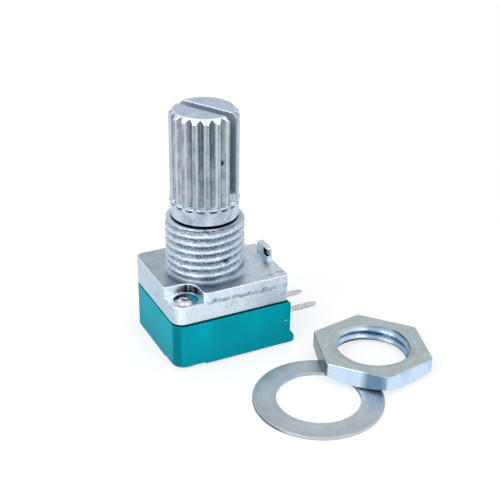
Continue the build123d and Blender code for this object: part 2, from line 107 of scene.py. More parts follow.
class ShaftSizes(bpy.types.PropertyGroup):
    teeth: IntProperty(name="Teeth", description="Number of spline grooves", default=18, min=6)
    groove_depth: length("Groove depth", "Depth of each V groove", 0.40)
    groove_opening: length("Groove opening", "Width of a groove at the outer surface", 0.76)
    slot_width: length("Slot width", "Width of the screwdriver slot", 0.88)
    slot_depth: length("Slot depth", "Depth of the slot from the tip", 7.2)
    burr: length("Burr", "Lip that the cutter raises under each groove", 0.09)


class BodySizes(bpy.types.PropertyGroup):
    plate_edge: length("Plate edge", "Rounding of the cast plate's edges", 0.08)
    case_edge: length("Case edge", "Rounding of the moulded case's edges", 0.10)
    pin_edge: length("Pin edge", "Rounding of the terminals' edges", 0.05)


class HardwareSizes(bpy.types.PropertyGroup):
    nut_edge: length("Nut edge", "Rounding of the nut's upper edge", 0.09)
    nut_pitch: length("Nut pitch", "Distance between the turns of the nut's thread", 0.75)
    washer_edge: length("Washer edge", "Rounding of the washer's stamped edge", 0.07)


class FinishColours(bpy.types.PropertyGroup):
    zinc: colour("Cast zinc", "Upper surface of the die-cast plate", "#C0CAD2")
    zinc_side: colour("Cast zinc sides", "Frosted sides of the casting", "#EAF6FF")
    # Also the painted highlight on the plate's upper edges and on the inner wall of the lug's notch
    zinc_edge: colour("Cast zinc edges", "Edges polished by tumbling", "#F6FAFF")
    zinc_pit: colour("Cast zinc pits", "Pits and flash along the parting line", "#5A6672")
    # This dark colour is painted shade and shadow, laid in recesses, gaps and joints
    painted_shade: colour("Grime", "Die release, oil and dirt in corners and joints", "#14181D")
    # Also the painted highlight on crests, glints, the flare's hem and a nick's facet
    thread: colour("Thread crests", "Bright torn crests of the cast thread", "#E2F0FF")
    # Painted shade in the thread's roots and a painted dark reflection on its flare
    thread_root_shade: colour("Thread roots", "Blue-grey streaks low in the thread", "#66788C")
    teal: colour("Case plastic", "Moulded case", "#009FAF")
    shaft: colour("Shaft", "Turned face and teeth", "#B6C3CE")
    # Also the painted highlight on the grooves' lips and ledges and on the tip's chamfer
    shaft_bright: colour("Shaft burnish", "Chamfer, lips and plain band", "#DEEDFF")
    shaft_root: colour("Shaft grooves", "Dull metal in the grooves", "#B6BBBC")
    shaft_sawn: colour("Slot walls", "Sawn walls of the slot", "#98A5B0")
    nut_face: colour("Nut face", "Turned upper face of the nut", "#C0CBCA")
    nut_side: colour("Nut sides", "Blue zinc plating on the nut's sides", "#CDE4F8")
    washer: colour("Washer", "Zinc plated sheet", "#C4CCD3")
    plating_blue: colour("Plating shade", "Bluer clouds in the plating", "#8FB0CC")
    # Painted shade in the roots of the nut's thread
    nut_root_shade: colour("Oiled thread", "Oil in the roots of the nut's thread", "#48647C")
    rivet: colour("Rivets", "Headed aluminium", "#F4F1F4")
    tin: colour("Tinned pins", "Dull tin plating", "#E4E5E8")


class StageSettings(bpy.types.PropertyGroup):
    key: FloatProperty(name="Key lamp", description="Power of the large lamp at the left",
                       default=0.30, min=0.0, unit='POWER')
    fill: FloatProperty(name="Fill lamp", description="Power of the large lamp over the front",
                        default=0.16, min=0.0, unit='POWER')
    sky: FloatProperty(name="Room", description="Brightness of the white room overhead",
                       default=1.0, min=0.0)


class Potentiometer(bpy.types.PropertyGroup):
    bushing: PointerProperty(type=BushingSizes)
    shaft: PointerProperty(type=ShaftSizes)
    body: PointerProperty(type=BodySizes)
    hardware: PointerProperty(type=HardwareSizes)
    finish: PointerProperty(type=FinishColours)
    stage: PointerProperty(type=StageSettings)


def settings():
    return bpy.context.scene.potentiometer


# Mesh making

def smooth(mesh):
    for face in mesh.polygons:
        face.use_smooth = True
    return mesh


def arc(x, y, radius, start, end, steps):
    """Points along an arc, angles in degrees."""
    turn = [math.radians(start + (end - start) * i / steps) for i in range(steps + 1)]
    return [(x + radius * math.cos(a), y + radius * math.sin(a)) for a in turn]


def circle(x, y, radius, steps=48):
    return arc(x, y, radius, 0, 360, steps)[:-1]


def hoop(reach, z, steps, x=0.0, y=0.0):
    """A level ring of points; its radius is a number or follows the angle."""
    points = []
    for i in range(steps):
        turn = 2 * math.pi * i / steps
        radius = reach(turn) if callable(reach) else reach
        points.append((x + radius * math.cos(turn), y + radius * math.sin(turn), z))
    return points


def rounded(corners):
    """An outline whose corners, given as x, y and radius, are rounded."""
    points, steps = [], 8
    for i, (x, y, radius) in enumerate(corners):
        here = Vector((x, y))
        back = Vector(corners[i - 1][:2]) - here
        ahead = Vector(corners[(i + 1) % len(corners)][:2]) - here
        if radius <= 0:
            points.append((x, y))
            continue
        back.normalize()
        ahead.normalize()
        half = back.angle(ahead) / 2
        centre = here + (back + ahead).normalized() * (radius / math.sin(half))
        first = here + back * (radius / math.tan(half)) - centre
        last = here + ahead * (radius / math.tan(half)) - centre
        sweep = first.angle_signed(last)
        for k in range(steps + 1):
            spoke = first.copy()
            spoke.rotate(Matrix.Rotation(-sweep * k / steps, 2))
            points.append(tuple(centre + spoke))
    return points


def prism(outline, low, high, along='Z'):
    """A closed solid with a flat outline; along X its pairs are y and z, along Y x and z."""
    lay = {'Z': lambda u, v, w: (u, v, w), 'Y': lambda u, v, w: (u, w, v),
           'X': lambda u, v, w: (w, u, v)}[along]
    count = len(outline)
    points = [lay(u, v, low) for u, v in outline] + [lay(u, v, high) for u, v in outline]
    faces = [list(range(count))[::-1], list(range(count, 2 * count))]
    faces += [[i, (i + 1) % count, count + (i + 1) % count, count + i] for i in range(count)]
    if along == 'Y':
        faces = [face[::-1] for face in faces]
    mesh = bpy.data.meshes.new("solid")
    mesh.from_pydata(points, [], faces)
    return smooth(mesh)


def block(x0, x1, y0, y1, low, high):
    return prism([(x0, y0), (x1, y0), (x1, y1), (x0, y1)], low, high)


def wrap(rings, closed=False):
    """A skin over rings of points; the last ring joins the first, or both ends are capped."""
    count = len(rings[0])
    points = [p for ring in rings for p in ring]
    faces = []
    for r in range(len(rings) if closed else len(rings) - 1):
        a = r * count
        b = ((r + 1) % len(rings)) * count
        faces += [[a + i, a + (i + 1) % count, b + (i + 1) % count, b + i] for i in range(count)]
    if not closed:
        for ring, flip in ((0, True), (len(rings) - 1, False)):
            centre = sum((Vector(p) for p in rings[ring]), Vector()) / count
            points.append(tuple(centre))
            hub = len(points) - 1
            base = ring * count
            for i in range(count):
                face = [base + i, base + (i + 1) % count, hub]
                faces.append(face[::-1] if flip else face)
    mesh = bpy.data.meshes.new("skin")
    mesh.from_pydata(points, [], faces)
    return smooth(mesh)


def crest_at(turn, z, pitch, steep, cut):
    """A thread's relief at an angle and a height, from 0 in the roots to 1 on the crests."""
    way = (z / pitch - turn / (2 * math.pi)) % 1.0
    return min(1.0, max(0.0, (1 - abs(2 * way - 1)) * steep - cut))


def turned(profile, x, y, steps=40):
    """A body of revolution from radius and height pairs, from the bottom up and closed."""
    return wrap([hoop(radius, z, steps, x, y) for radius, z in profile])


def worked_out(host):
    """The mesh that an object's modifiers give; the object itself is let go."""
    graph = bpy.context.evaluated_depsgraph_get()
    mesh = bpy.data.meshes.new_from_object(host.evaluated_get(graph), depsgraph=graph)
    bpy.data.objects.remove(host)
    if not mesh.polygons:
        raise RuntimeError("a cut left nothing of a piece")
    return mesh


def machined(base, cuts=(), edge=0.0, steps=3, limit=35):
    """Cut solids out of one, round its sharp edges, and give the mesh in millimetres."""
    host = bpy.data.objects.new("host", base)
    tools = [bpy.data.objects.new("tool", mesh) for mesh in cuts]
    for solid in [host] + tools:
        bpy.context.collection.objects.link(solid)
    for tool in tools:
        cut = host.modifiers.new("cut", 'BOOLEAN')
        cut.operation = 'DIFFERENCE'
        cut.object = tool
        cut.solver = 'EXACT'
    if edge:
        rounding = host.modifiers.new("rounding", 'BEVEL')
        rounding.width = edge
        rounding.segments = steps
        rounding.limit_method = 'ANGLE'
        rounding.angle_limit = math.radians(limit)
        rounding.use_clamp_overlap = False
        rounding.miter_outer = 'MITER_ARC'
    mesh = worked_out(host)
    for tool in tools:
        bpy.data.objects.remove(tool)
    return mesh


def gather(meshes):
    """Several meshes as one, each kept as its own shell."""
    points, faces = [], []
    for mesh in meshes:
        start = len(points)
        points += [tuple(v.co) for v in mesh.vertices]
        faces += [[start + i for i in face.vertices] for face in mesh.polygons]
    joined = bpy.data.meshes.new("shells")
    joined.from_pydata(points, [], faces)
    return smooth(joined)


def shaded(mesh, crease):
    """Flat faces stay flat in the light beside their rounded edges, and sharp edges sharp."""
    mesh.set_sharp_from_angle(angle=math.radians(crease))
    host = bpy.data.objects.new("host", mesh)
    bpy.context.collection.objects.link(host)
    flats = host.modifiers.new("flats", 'WEIGHTED_NORMAL')
    flats.keep_sharp = True
    return worked_out(host)


def place(name, mesh, material, body, node, crease=45):
    """Put a piece at its real size in the frame, on its body and in place of a CAD node."""
    mesh = shaded(mesh, crease)
    mesh.transform(Matrix.Scale(1 / MM, 4))
    mesh.materials.clear()
    mesh.materials.append(material)
    piece = bpy.data.objects.new(name, mesh)
    bpy.context.collection.objects.link(piece)
    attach(piece, body)
    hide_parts(node)


# Material making

NOISE = 'ShaderNodeTexNoise'
RANGE = 'ShaderNodeMapRange'
MATH = 'ShaderNodeMath'
VECTOR = 'ShaderNodeVectorMath'
MIX = 'ShaderNodeMix'
BUMP = 'ShaderNodeBump'
SPLIT = 'ShaderNodeSeparateXYZ'


def fill(tree, node, sockets):
    """Set a node's inputs; a node given as a value is linked from its first output in use."""
    for name, value in sockets.items():
        if isinstance(value, bpy.types.Node):
            value = next(output for output in value.outputs if output.enabled)
        if isinstance(value, bpy.types.NodeSocket):
            tree.links.new(value, node.inputs[name])
        else:
            node.inputs[name].default_value = value


def add(tree, kind, sockets=None, **parts):
    """Add one node, with its own settings and its inputs."""
    made = tree.nodes.new(kind)
    for name, value in parts.items():
        setattr(made, name, value)
    fill(tree, made, sockets or {})
    return made


def finish_of(name, metallic, roughness):
    """A new material with its shader and the coordinates that its patterns use."""
    material = bpy.data.materials.new(name)
    material.use_nodes = True
    tree = material.node_tree
    shader = tree.nodes["Principled BSDF"]
    fill(tree, shader, {"Metallic": metallic, "Roughness": roughness})
    return material, tree, shader, add(tree, 'ShaderNodeTexCoord').outputs


def per(mm):
    """A texture scale for features of a real size."""
    return MM / mm


def shade(tone, amount):
    """A darker tone of a colour."""
    return [c * amount for c in tone[:3]] + [1.0]


def from_axis(tree, at):
    """How far a point is from the upright axis of its coordinates."""
    across = add(tree, VECTOR, {0: at, 1: (1.0, 1.0, 0.0)}, operation='MULTIPLY')
    return add(tree, VECTOR, {0: across}, operation='LENGTH')


def patch(tree, at, centre, reach, soft=0.25):
    """A mask that fills an ellipsoid, given by its centre and half sizes in millimetres."""
    away = add(tree, VECTOR, {0: at, 1: [c / MM for c in centre]}, operation='SUBTRACT')
    sized = add(tree, VECTOR, {0: away, 1: [MM / r for r in reach]}, operation='MULTIPLY')
    far = add(tree, VECTOR, {0: sized}, operation='LENGTH')
    return add(tree, RANGE, {"Value": far, "From Min": 1 + soft, "From Max": 1 - soft})


def mottle(tree, at, mm, start, full, detail=2.0, roughness=0.5, least=0.0, most=1.0):
    """A mask of soft patches of a real size; its limits set how much they cover."""
    pattern = add(tree, NOISE, {"Vector": at, "Scale": per(mm), "Detail": detail,
                                "Roughness": roughness})
    return add(tree, RANGE, {"Value": pattern, "From Min": start, "From Max": full,
                             "To Min": least, "To Max": most})


def all_of(tree, first, *others):
    """A mask that is full only where each of several masks is."""
    for other in others:
        first = add(tree, MATH, {0: first, 1: other}, operation='MULTIPLY')
    return first


def painted(tree, body, *layers):
    """Lay colours over a body colour, each where all the masks that follow it are full."""
    for tone, *masks in layers:
        body = add(tree, MIX, {0: all_of(tree, *masks), 6: body, 7: tone}, data_type='RGBA')
    return body


def dressed(tree, shader, body, relief, height_mm, strength, rough=()):
    """Give a shader its colour, a bump from a pattern and a roughness that follows one."""
    bump = add(tree, BUMP, {"Height": relief, "Distance": height_mm / MM, "Strength": strength})
    fill(tree, shader, {"Base Color": body, "Normal": bump})
    for pattern, low, high in rough:
        worn = add(tree, RANGE, {"Value": pattern, "From Min": 0.3, "From Max": 0.7,
                                 "To Min": low, "To Max": high})
        fill(tree, shader, {"Roughness": worn})


def tumbled_zinc(name):
    """Zinc alloy, die cast and tumbled: satin top, frosted sides, polished edges, pitted seam."""
    look = settings().finish
    material, tree, shader, where = finish_of(name, 1.0, 0.30)
    at = where["Object"]
    facing = add(tree, SPLIT, {"Vector": where["Normal"]}).outputs
    spot = add(tree, SPLIT, {"Vector": at}).outputs
    # Heights: plate without lug, its top, the pocket floor's rim from both sides, joint
    plate, high, bottom, above, joint = (
        add(tree, RANGE, {"Value": spot["Z"], "From Min": start / MM, "From Max": full / MM})
        for start, full in ((0.3, 0.1), (-0.6, -0.2), (-0.79, -0.83), (-0.899, -0.89),
                            (-2.59, -2.64)))
    flat, rise, fall, wall = (
        add(tree, RANGE, {"Value": facing["Z"], "From Min": start, "From Max": full})
        for start, full in ((0.90, 0.98), (0.25, 0.45), (0.97, 0.88), (0.5, 0.2)))
    # Cloudy stain of 2 mm patches on the satin top, and a painted sheen that lightens its right half
    stain = mottle(tree, at, 2.0, 0.38, 0.62, 5.0, 0.7)
    right_sheen = add(tree, RANGE, {"Value": spot["X"], "From Min": -4.5 / MM, "From Max": 4.5 / MM,
                               "To Min": 0.83, "To Max": 1.26})
    top = painted(tree, shade(look.zinc, 0.78), (look.zinc, stain))
    top = add(tree, VECTOR, {0: top, "Scale": right_sheen}, operation='SCALE')
    # Frosting of 0.15 mm grains over 1 mm clouds, as the die leaves on the upright faces
    grain = add(tree, NOISE, {"Vector": at, "Scale": per(0.15), "Detail": 3.0, "Roughness": 0.7})
    drift = add(tree, NOISE, {"Vector": at, "Scale": per(1.1), "Detail": 3.0})
    frost = add(tree, MIX, {0: 0.6, 2: drift, 3: grain})
    frost = add(tree, RANGE, {"Value": frost, "From Min": 0.33, "From Max": 0.46})
    side = painted(tree, shade(look.zinc_side, 0.52), (look.plating_blue, 0.5),
                   (look.zinc_side, frost))
    # Painted shade makes the plate's left side a little darker
    left = add(tree, RANGE, {"Value": facing["X"], "From Min": -0.6, "From Max": -0.95})
    side = add(tree, MIX, {0: all_of(tree, left, plate), 6: side, 7: (0.60, 0.66, 0.73, 1.0)},
               data_type='RGBA', blend_type='MULTIPLY')
    # Pits about 0.2 mm across in clumps along the swaying seam, on the faces to the front
    sway = add(tree, RANGE, {"Value": drift, "From Min": 0.3, "From Max": 0.7,
                             "To Min": 0.80 / MM, "To Max": 1.12 / MM})
    seam = add(tree, MATH, {0: spot["Z"], 1: sway}, operation='ADD')
    seam = add(tree, MATH, {0: seam}, operation='ABSOLUTE')
    near = add(tree, RANGE, {"Value": seam, "From Min": 0.40 / MM, "From Max": 0.15 / MM})
    pits = add(tree, NOISE, {"Vector": at, "Scale": per(0.16), "Detail": 4.0, "Roughness": 0.8})
    clump = mottle(tree, at, 0.8, 0.36, 0.56, least=0.84, most=1.08)
    deep = add(tree, RANGE, {"Value": all_of(tree, pits, clump, near), "From Min": 0.42,
                             "From Max": 0.49})
    front = add(tree, RANGE, {"Value": facing["Y"], "From Min": -0.3, "From Max": -0.8})
    clear = add(tree, RANGE, {"Value": spot["X"], "From Min": -2.1 / MM, "From Max": -1.3 / MM})
    speck = add(tree, RANGE, {"Value": grain, "From Min": 0.42, "From Max": 0.56,
                              "To Min": 0.30, "To Max": 1.0})
    shine = add(tree, RANGE, {"Value": grain, "From Min": 0.56, "From Max": 0.64})
    # Painted shade on the right half of the pocket's back wall, in upright streaks
    upright = add(tree, VECTOR, {0: at, 1: (1.0, 1.0, 0.15)}, operation='MULTIPLY')
    smudge = mottle(tree, upright, 0.35, 0.38, 0.60, least=0.55)
    painted_shade = patch(tree, at, (-2.55, -2.55, -0.5), (1.15, 1.0, 0.46), 0.2)
    # Scuffs near the front right corner of the top, drawn out along the edge
    along = add(tree, VECTOR, {0: at, 1: (0.35, 1.4, 1.0)}, operation='MULTIPLY')
    scuff = mottle(tree, along, 0.30, 0.52, 0.62, 3.0)
    corner = patch(tree, at, (4.9, -4.1, 0.0), (1.3, 0.45, 0.3))
    # Notch of the lug: painted shadow in its far wall and floor, a painted highlight on its inner
    # wall
    notch_shadow = add(tree, MATH, {0: patch(tree, at, (5.62, -0.74, 0.66), (0.22, 0.10, 0.36), 0.15),
                             1: patch(tree, at, (5.62, -1.05, 0.35), (0.25, 0.45, 0.05), 0.2)},
                operation='MAXIMUM')
    burr = patch(tree, at, (5.80, -1.08, 0.54), (0.12, 0.20, 0.27), 0.2)
    # From the satin top up: upper edges polished by tumbling and also painted brighter as a
    # highlight, painted shade in the inner corner of the pocket's floor, pits, scuffs, and painted
    # shade in the joint over the case
    body = painted(tree, side, (top, flat, high), (look.zinc_edge, rise, fall, high),
                   (shade(look.zinc_side, 0.42), rise, fall, bottom, above),
                   (look.zinc_pit, deep, front, clear, speck),
                   (look.zinc_edge, near, shine, front), (look.painted_shade, painted_shade, wall, smudge),
                   (shade(look.zinc, 0.50), scuff, corner), (look.painted_shade, notch_shadow),
                   (look.zinc_edge, burr), (look.painted_shade, joint))
    # The painted highlight on the notch's inner wall is mostly not metal, so the lamps light it
    metal = add(tree, RANGE, {"Value": burr, "To Min": 1.0, "To Max": 0.2})
    fill(tree, shader, {"Metallic": metal})
    dents = add(tree, RANGE, {"Value": flat, "To Min": 1.0, "To Max": 0.30})
    dressed(tree, shader, body, grain, 0.02, dents, [(grain, 0.24, 0.40)])
    return material


def cast_thread_zinc(name):
    """Zinc alloy as cast: thin crests painted bright as a highlight, blue-grey flanks with darker
    streaks, painted shade in the roots.
    """
    look = settings().finish
    material, tree, shader, where = finish_of(name, 1.0, 0.30)
    at = where["Object"]
    height = add(tree, SPLIT, {"Vector": at}).outputs["Z"]
    up = add(tree, SPLIT, {"Vector": where["Normal"]}).outputs["Z"]
    radius = from_axis(tree, at)
    # Distances from the axis: roots and the thin line in them, both painted shade, crests, painted
    # highlight, and the mouth's inner rim, painted shadow of the gap round the shaft
    low, line, out, inner = (
        add(tree, RANGE, {"Value": radius, "From Min": start / MM, "From Max": full / MM})
        for start, full in ((3.26, 3.12), (3.15, 3.10), (3.30, 3.42), (3.04, 2.98)))
    # Heights: the smooth flare at the foot with its painted dark reflection, its hem on the plate
    # painted bright as a highlight, the mouth's flat rim
    foot, hem, rim = (
        add(tree, RANGE, {"Value": height, "From Min": start / MM, "From Max": full / MM})
        for start, full in ((0.56, 0.44), (0.22, 0.08), (5.08, 5.14)))
    # Flakes 0.3 mm long and streaks about 2 mm long, drawn out round the thread
    drawn = add(tree, VECTOR, {0: at, 1: (1.0, 1.0, 2.6)}, operation='MULTIPLY')
    flake = add(tree, NOISE, {"Vector": drawn, "Scale": per(0.3), "Detail": 4.0,
                              "Roughness": 0.7})
    torn = add(tree, RANGE, {"Value": flake, "From Min": 0.38, "From Max": 0.60})
    broad = mottle(tree, drawn, 1.8, 0.38, 0.60, 3.0)
    # Painted glints 0.12 mm across, and painted shadows beside them
    glint = mottle(tree, drawn, 0.12, 0.54, 0.62)
    shadow = mottle(tree, drawn, 0.16, 0.60, 0.68, roughness=0.6)
    # One deep nick in a crest with painted shade in it, and a painted highlight on the facet beside
    # it
    nick = patch(tree, at, (0.62, -3.30, 1.98), (0.16, 0.25, 0.17))
    facet = patch(tree, at, (0.98, -3.30, 1.94), (0.17, 0.30, 0.20))
    # Crests take a painted highlight; the roots and the thin line in them take painted shade
    crest = painted(tree, shade(look.thread, 0.66), (look.thread, torn))
    flank = painted(tree, shade(look.thread, 0.42), (shade(look.thread, 0.74), torn))
    worn = painted(tree, look.thread_root_shade, (flank, broad))
    flare = painted(tree, shade(look.thread_root_shade, 0.7), (shade(look.zinc_side, 0.40), broad),
                    (shade(look.thread, 0.70), hem))
    body = painted(tree, flank, (worn, low), (shade(look.thread_root_shade, 0.35), line, 0.75),
                   (crest, out), (look.thread, glint), (look.thread_root_shade, shadow, 0.6),
                   (flare, foot), (shade(look.thread, 0.80), rim), (look.painted_shade, inner),
                   (look.thread, facet), (look.painted_shade, nick))
    # The upper sides of the turns took the mould's grain best
    grain = add(tree, RANGE, {"Value": up, "From Min": -0.5, "From Max": 0.6, "To Min": 0.5,
                              "To Max": 0.95})
    dressed(tree, shader, body, flake, 0.05, grain, [(flake, 0.44, 0.30)])
    return material


def moulded_plastic(name):
    """Glass-filled polyester, injection moulded: nearly matt, with faint flow marks."""
    look = settings().finish
    material, tree, shader, where = finish_of(name, 0.0, 0.40)
    fill(tree, shader, {"IOR": 1.5, "Specular IOR Level": 0.03})
    at = where["Object"]
    height = add(tree, SPLIT, {"Vector": at}).outputs["Z"]
    # Heights: painted shade darkens the skin downwards; painted shade in the joint, under the bosses
    # of the rivets
    low, joint, under = (
        add(tree, RANGE, {"Value": height, "From Min": start / MM, "From Max": full / MM})
        for start, full in ((-4.0, -7.1), (-2.75, -2.71), (-2.66, -2.69)))
    # Flow marks about 2 mm wide, drawn out upwards on the sides
    drawn = add(tree, VECTOR, {0: at, 1: (1.0, 1.0, 0.35)}, operation='MULTIPLY')
    flow = add(tree, NOISE, {"Vector": drawn, "Scale": per(2.2), "Detail": 3.0})
    tone = add(tree, RANGE, {"Value": flow, "From Min": 0.34, "From Max": 0.66})
    # Painted shade also darkens the skin where the front and the left face meet
    corner = add(tree, VECTOR, {0: where["Normal"], 1: (-0.80, -0.60, 0.0)},
                 operation='DOT_PRODUCT')
    corner = add(tree, RANGE, {"Value": corner, "From Min": 0.84, "From Max": 0.98})
    # Painted shade on the boss behind and to the left of the near rivet, and one pale nick at the
    # right
    painted_shade = patch(tree, at, (-3.72, -2.55, -1.08), (0.85, 0.55, 0.30), 0.3)
    nick = patch(tree, at, (5.76, -4.85, -4.58), (0.13, 0.2, 0.04))
    body = painted(tree, shade(look.teal, 0.82), (look.teal, tone),
                   (shade(look.teal, 0.70), low, 0.9), (shade(look.teal, 0.50), corner),
                   (shade(look.teal, 0.16), joint, under), (look.painted_shade, painted_shade),
                   (shade(look.zinc_edge, 0.6), nick))
    fine = add(tree, NOISE, {"Vector": at, "Scale": per(0.25), "Detail": 3.0})
    dressed(tree, shader, body, fine, 0.01, 0.35, [(flow, 0.32, 0.44)])
    return material


def milled_shaft_metal(name):
    """Aluminium alloy, turned and then cut: bright teeth, dull grooves, streaks along the cut."""
    look = settings().finish
    material, tree, shader, where = finish_of(name, 1.0, 0.26)
    at = where["Object"]
    height = add(tree, SPLIT, {"Vector": at}).outputs["Z"]
    up = add(tree, SPLIT, {"Vector": where["Normal"]}).outputs["Z"]
    radius = from_axis(tree, at)
    # Distances from the axis: teeth, lips of the grooves from both sides, burrs
    out, lip, edge, proud = (
        add(tree, RANGE, {"Value": radius, "From Min": start / MM, "From Max": full / MM})
        for start, full in ((2.72, 2.90), (2.86, 2.94), (2.995, 2.96), (3.008, 3.030)))
    # Heights: grooves, plain band, ledges, under the burrs, tip, slot, gap at the mouth
    cut, band, ledge_low, ledge_high, below, end, slot_low, slot_high, gap = (
        add(tree, RANGE, {"Value": height, "From Min": start / MM, "From Max": full / MM})
        for start, full in ((7.00, 7.10), (6.94, 6.86), (6.84, 6.88), (7.06, 7.00),
                            (6.82, 6.78), (14.40, 14.52), (7.70, 7.75), (14.96, 14.90),
                            (5.44, 5.38)))
    ledge, tip, rise, fall = (
        add(tree, RANGE, {"Value": up, "From Min": start, "From Max": full})
        for start, full in ((0.3, 0.6), (0.86, 0.95), (0.30, 0.50), (0.93, 0.86)))
    # Streaks 0.26 mm wide along the cut, smeared in patches of 1 mm
    drawn = add(tree, VECTOR, {0: at, 1: (1.0, 1.0, 0.10)}, operation='MULTIPLY')
    streak = add(tree, NOISE, {"Vector": drawn, "Scale": per(0.26), "Detail": 3.0})
    smear = add(tree, NOISE, {"Vector": at, "Scale": per(0.9), "Detail": 4.0, "Roughness": 0.7})
    worn = add(tree, MATH, {0: streak, 1: smear}, operation='ADD')
    worn = add(tree, RANGE, {"Value": worn, "From Min": 0.86, "From Max": 1.14})
    # The grooves darken towards the tip
    upper = add(tree, RANGE, {"Value": height, "From Min": 8.5 / MM, "From Max": 14.0 / MM,
                              "To Min": 1.15, "To Max": 0.72})
    root = painted(tree, shade(look.shaft_root, 0.62), (look.shaft_root, worn))
    root = add(tree, VECTOR, {0: root, "Scale": upper}, operation='SCALE')
    land = painted(tree, shade(look.shaft, 0.56), (shade(look.shaft, 0.96), worn))
    # The plain band and the tip's face are turned smooth, with soft clouds and no streaks
    soft = add(tree, RANGE, {"Value": smear, "From Min": 0.36, "From Max": 0.62})
    plain, face = (painted(tree, shade(look.shaft_bright, dark),
                           (shade(look.shaft_bright, 0.80), soft)) for dark in (0.50, 0.66))
    # The slot's walls are sawn, so they are dull and stay grey even deep down
    over = add(tree, VECTOR, {0: at, 1: SLOT_SIDE}, operation='DOT_PRODUCT')
    over = add(tree, MATH, {0: over}, operation='ABSOLUTE')
    inside = add(tree, RANGE, {"Value": over, "From Min": 0.50 / MM, "From Max": 0.46 / MM})
    sawn = all_of(tree, inside, slot_low, slot_high)
    # A fleck of the case's plastic stuck to one tooth, 0.4 mm across
    fleck = patch(tree, at, (0.46, -2.68, 10.93), (0.15, 0.25, 0.24), 0.3)
    # Each groove has lips painted bright as a highlight and ends on a ledge with a painted
    # highlight, over a burr with a painted dark reflection at its foot; the tip's chamfer has a
    # painted highlight and the gap at the mouth painted shadow
    body = painted(tree, root, (land, out), (shade(look.shaft_bright, 0.80), lip, edge, cut),
                   (plain, band), (look.shaft_bright, ledge_low, ledge_high, ledge),
                   (shade(look.shaft_root, 0.20), proud, below), (face, tip, end),
                   (look.shaft_bright, rise, fall, end), (look.shaft_sawn, sawn),
                   (shade(look.teal, 0.25), fleck), (look.painted_shade, gap))
    metal = add(tree, RANGE, {"Value": sawn, "To Min": 1.0, "To Max": 0.35})
    fill(tree, shader, {"Metallic": metal})
    relief = add(tree, RANGE, {"Value": band, "To Min": 0.5, "To Max": 0.08})
    dressed(tree, shader, body, streak, 0.02, relief, [(streak, 0.22, 0.38)])
    return material


def plated_steel(name, face, side, centre, bore, tool_mark_mm, roughness):
    """Steel with clear blue zinc plating: turned rings on the face, bright bluish sides."""
    look = settings().finish
    material, tree, shader, where = finish_of(name, 1.0, roughness)
    at = where["Object"]
    facing = add(tree, SPLIT, {"Vector": where["Normal"]}).outputs
    flat, steep = (add(tree, RANGE, {"Value": facing["Z"], "From Min": start, "From Max": full})
                   for start, full in ((0.75, 0.96), (0.9, 0.7)))
    # Rings that a lathe tool leaves, worked from the distance to the piece's centre
    out = add(tree, VECTOR, {0: at, 1: [c / MM for c in centre]}, operation='SUBTRACT')
    radius = from_axis(tree, out)
    ring_at = add(tree, 'ShaderNodeCombineXYZ', {"X": radius})
    rings = add(tree, NOISE, {"Vector": ring_at, "Scale": per(tool_mark_mm), "Detail": 2.0})
    cloud = add(tree, NOISE, {"Vector": at, "Scale": per(1.6), "Detail": 3.0})
    marks = add(tree, MIX, {0: 0.5, 2: rings, 3: cloud})
    tone = add(tree, RANGE, {"Value": marks, "From Min": 0.38, "From Max": 0.62})
    # The plating is bluer in soft clouds about 4 mm across on the sides
    blue = mottle(tree, at, 4.0, 0.50, 0.66, 1.0)
    # Painted shade darkens the side to the left, and a painted dark reflection lies on a patch of
    # the nut's front side
    left = add(tree, RANGE, {"Value": facing["X"], "From Min": -0.82, "From Max": -0.92})
    dark_reflection = patch(tree, at, (8.88, -14.98, -6.15), (0.95, 0.95, 3.5), 0.35)
    # Painted shade darkens the roots of the thread inside the bore
    root, inward = (
        add(tree, RANGE, {"Value": radius, "From Min": (bore + start) / MM,
                          "From Max": (bore + full) / MM})
        for start, full in ((0.20, 0.32), (0.60, 0.50)))
    top = painted(tree, shade(face, 0.80), (face, tone))
    body = painted(tree, side, (look.plating_blue, blue), (shade(look.nut_face, 0.34), left),
                   (shade(look.plating_blue, 0.66), dark_reflection), (top, flat),
                   (look.nut_root_shade, root, inward, steep))
    dressed(tree, shader, body, marks, 0.015, 0.4,
            [(marks, roughness - 0.06, roughness + 0.08)])
    return material


def grained(name, dark, light, metallic, roughness, grain, limits, relief):
    """A plain metal or plastic: one colour with its grain, in tone and in relief."""
    material, tree, shader, where = finish_of(name, metallic, roughness)
    pattern = add(tree, NOISE, {"Vector": where["Object"], **grain})
    tone = add(tree, RANGE, {"Value": pattern, "From Min": limits[0], "From Max": limits[1]})
    dressed(tree, shader, painted(tree, dark, (light, tone)), pattern, *relief)
    return material


def speckled_tin(name):
    """Brass strip with dull tin plating: pale grey with darker specks of about 0.1 mm."""
    tin = settings().finish.tin
    return grained(name, shade(tin, 0.60), tin, 1.0, 0.42,
                   {"Scale": per(0.16), "Detail": 3.0, "Roughness": 0.6}, (0.38, 0.60), (0.02, 0.5))


def formed_rivet(name):
    """Soft aluminium, headed cold: bright and smooth, with painted shade in the punch's dimple."""
    look = settings().finish
    material, tree, shader, where = finish_of(name, 1.0, 0.22)
    at = where["Object"]
    # Dents 0.35 mm across that the punch left round the crown
    dent = add(tree, NOISE, {"Vector": at, "Scale": per(0.35), "Detail": 2.0})
    tone = add(tree, RANGE, {"Value": dent, "From Min": 0.35, "From Max": 0.58})
    dimples = [(look.painted_shade, patch(tree, at, (x, y, -0.88), (0.20, 0.20, 0.13), 0.15))
               for x, y in RIVETS]
    body = painted(tree, shade(look.rivet, 0.60), (look.rivet, tone), *dimples)
    dressed(tree, shader, body, dent, 0.02, 0.4)
    return material


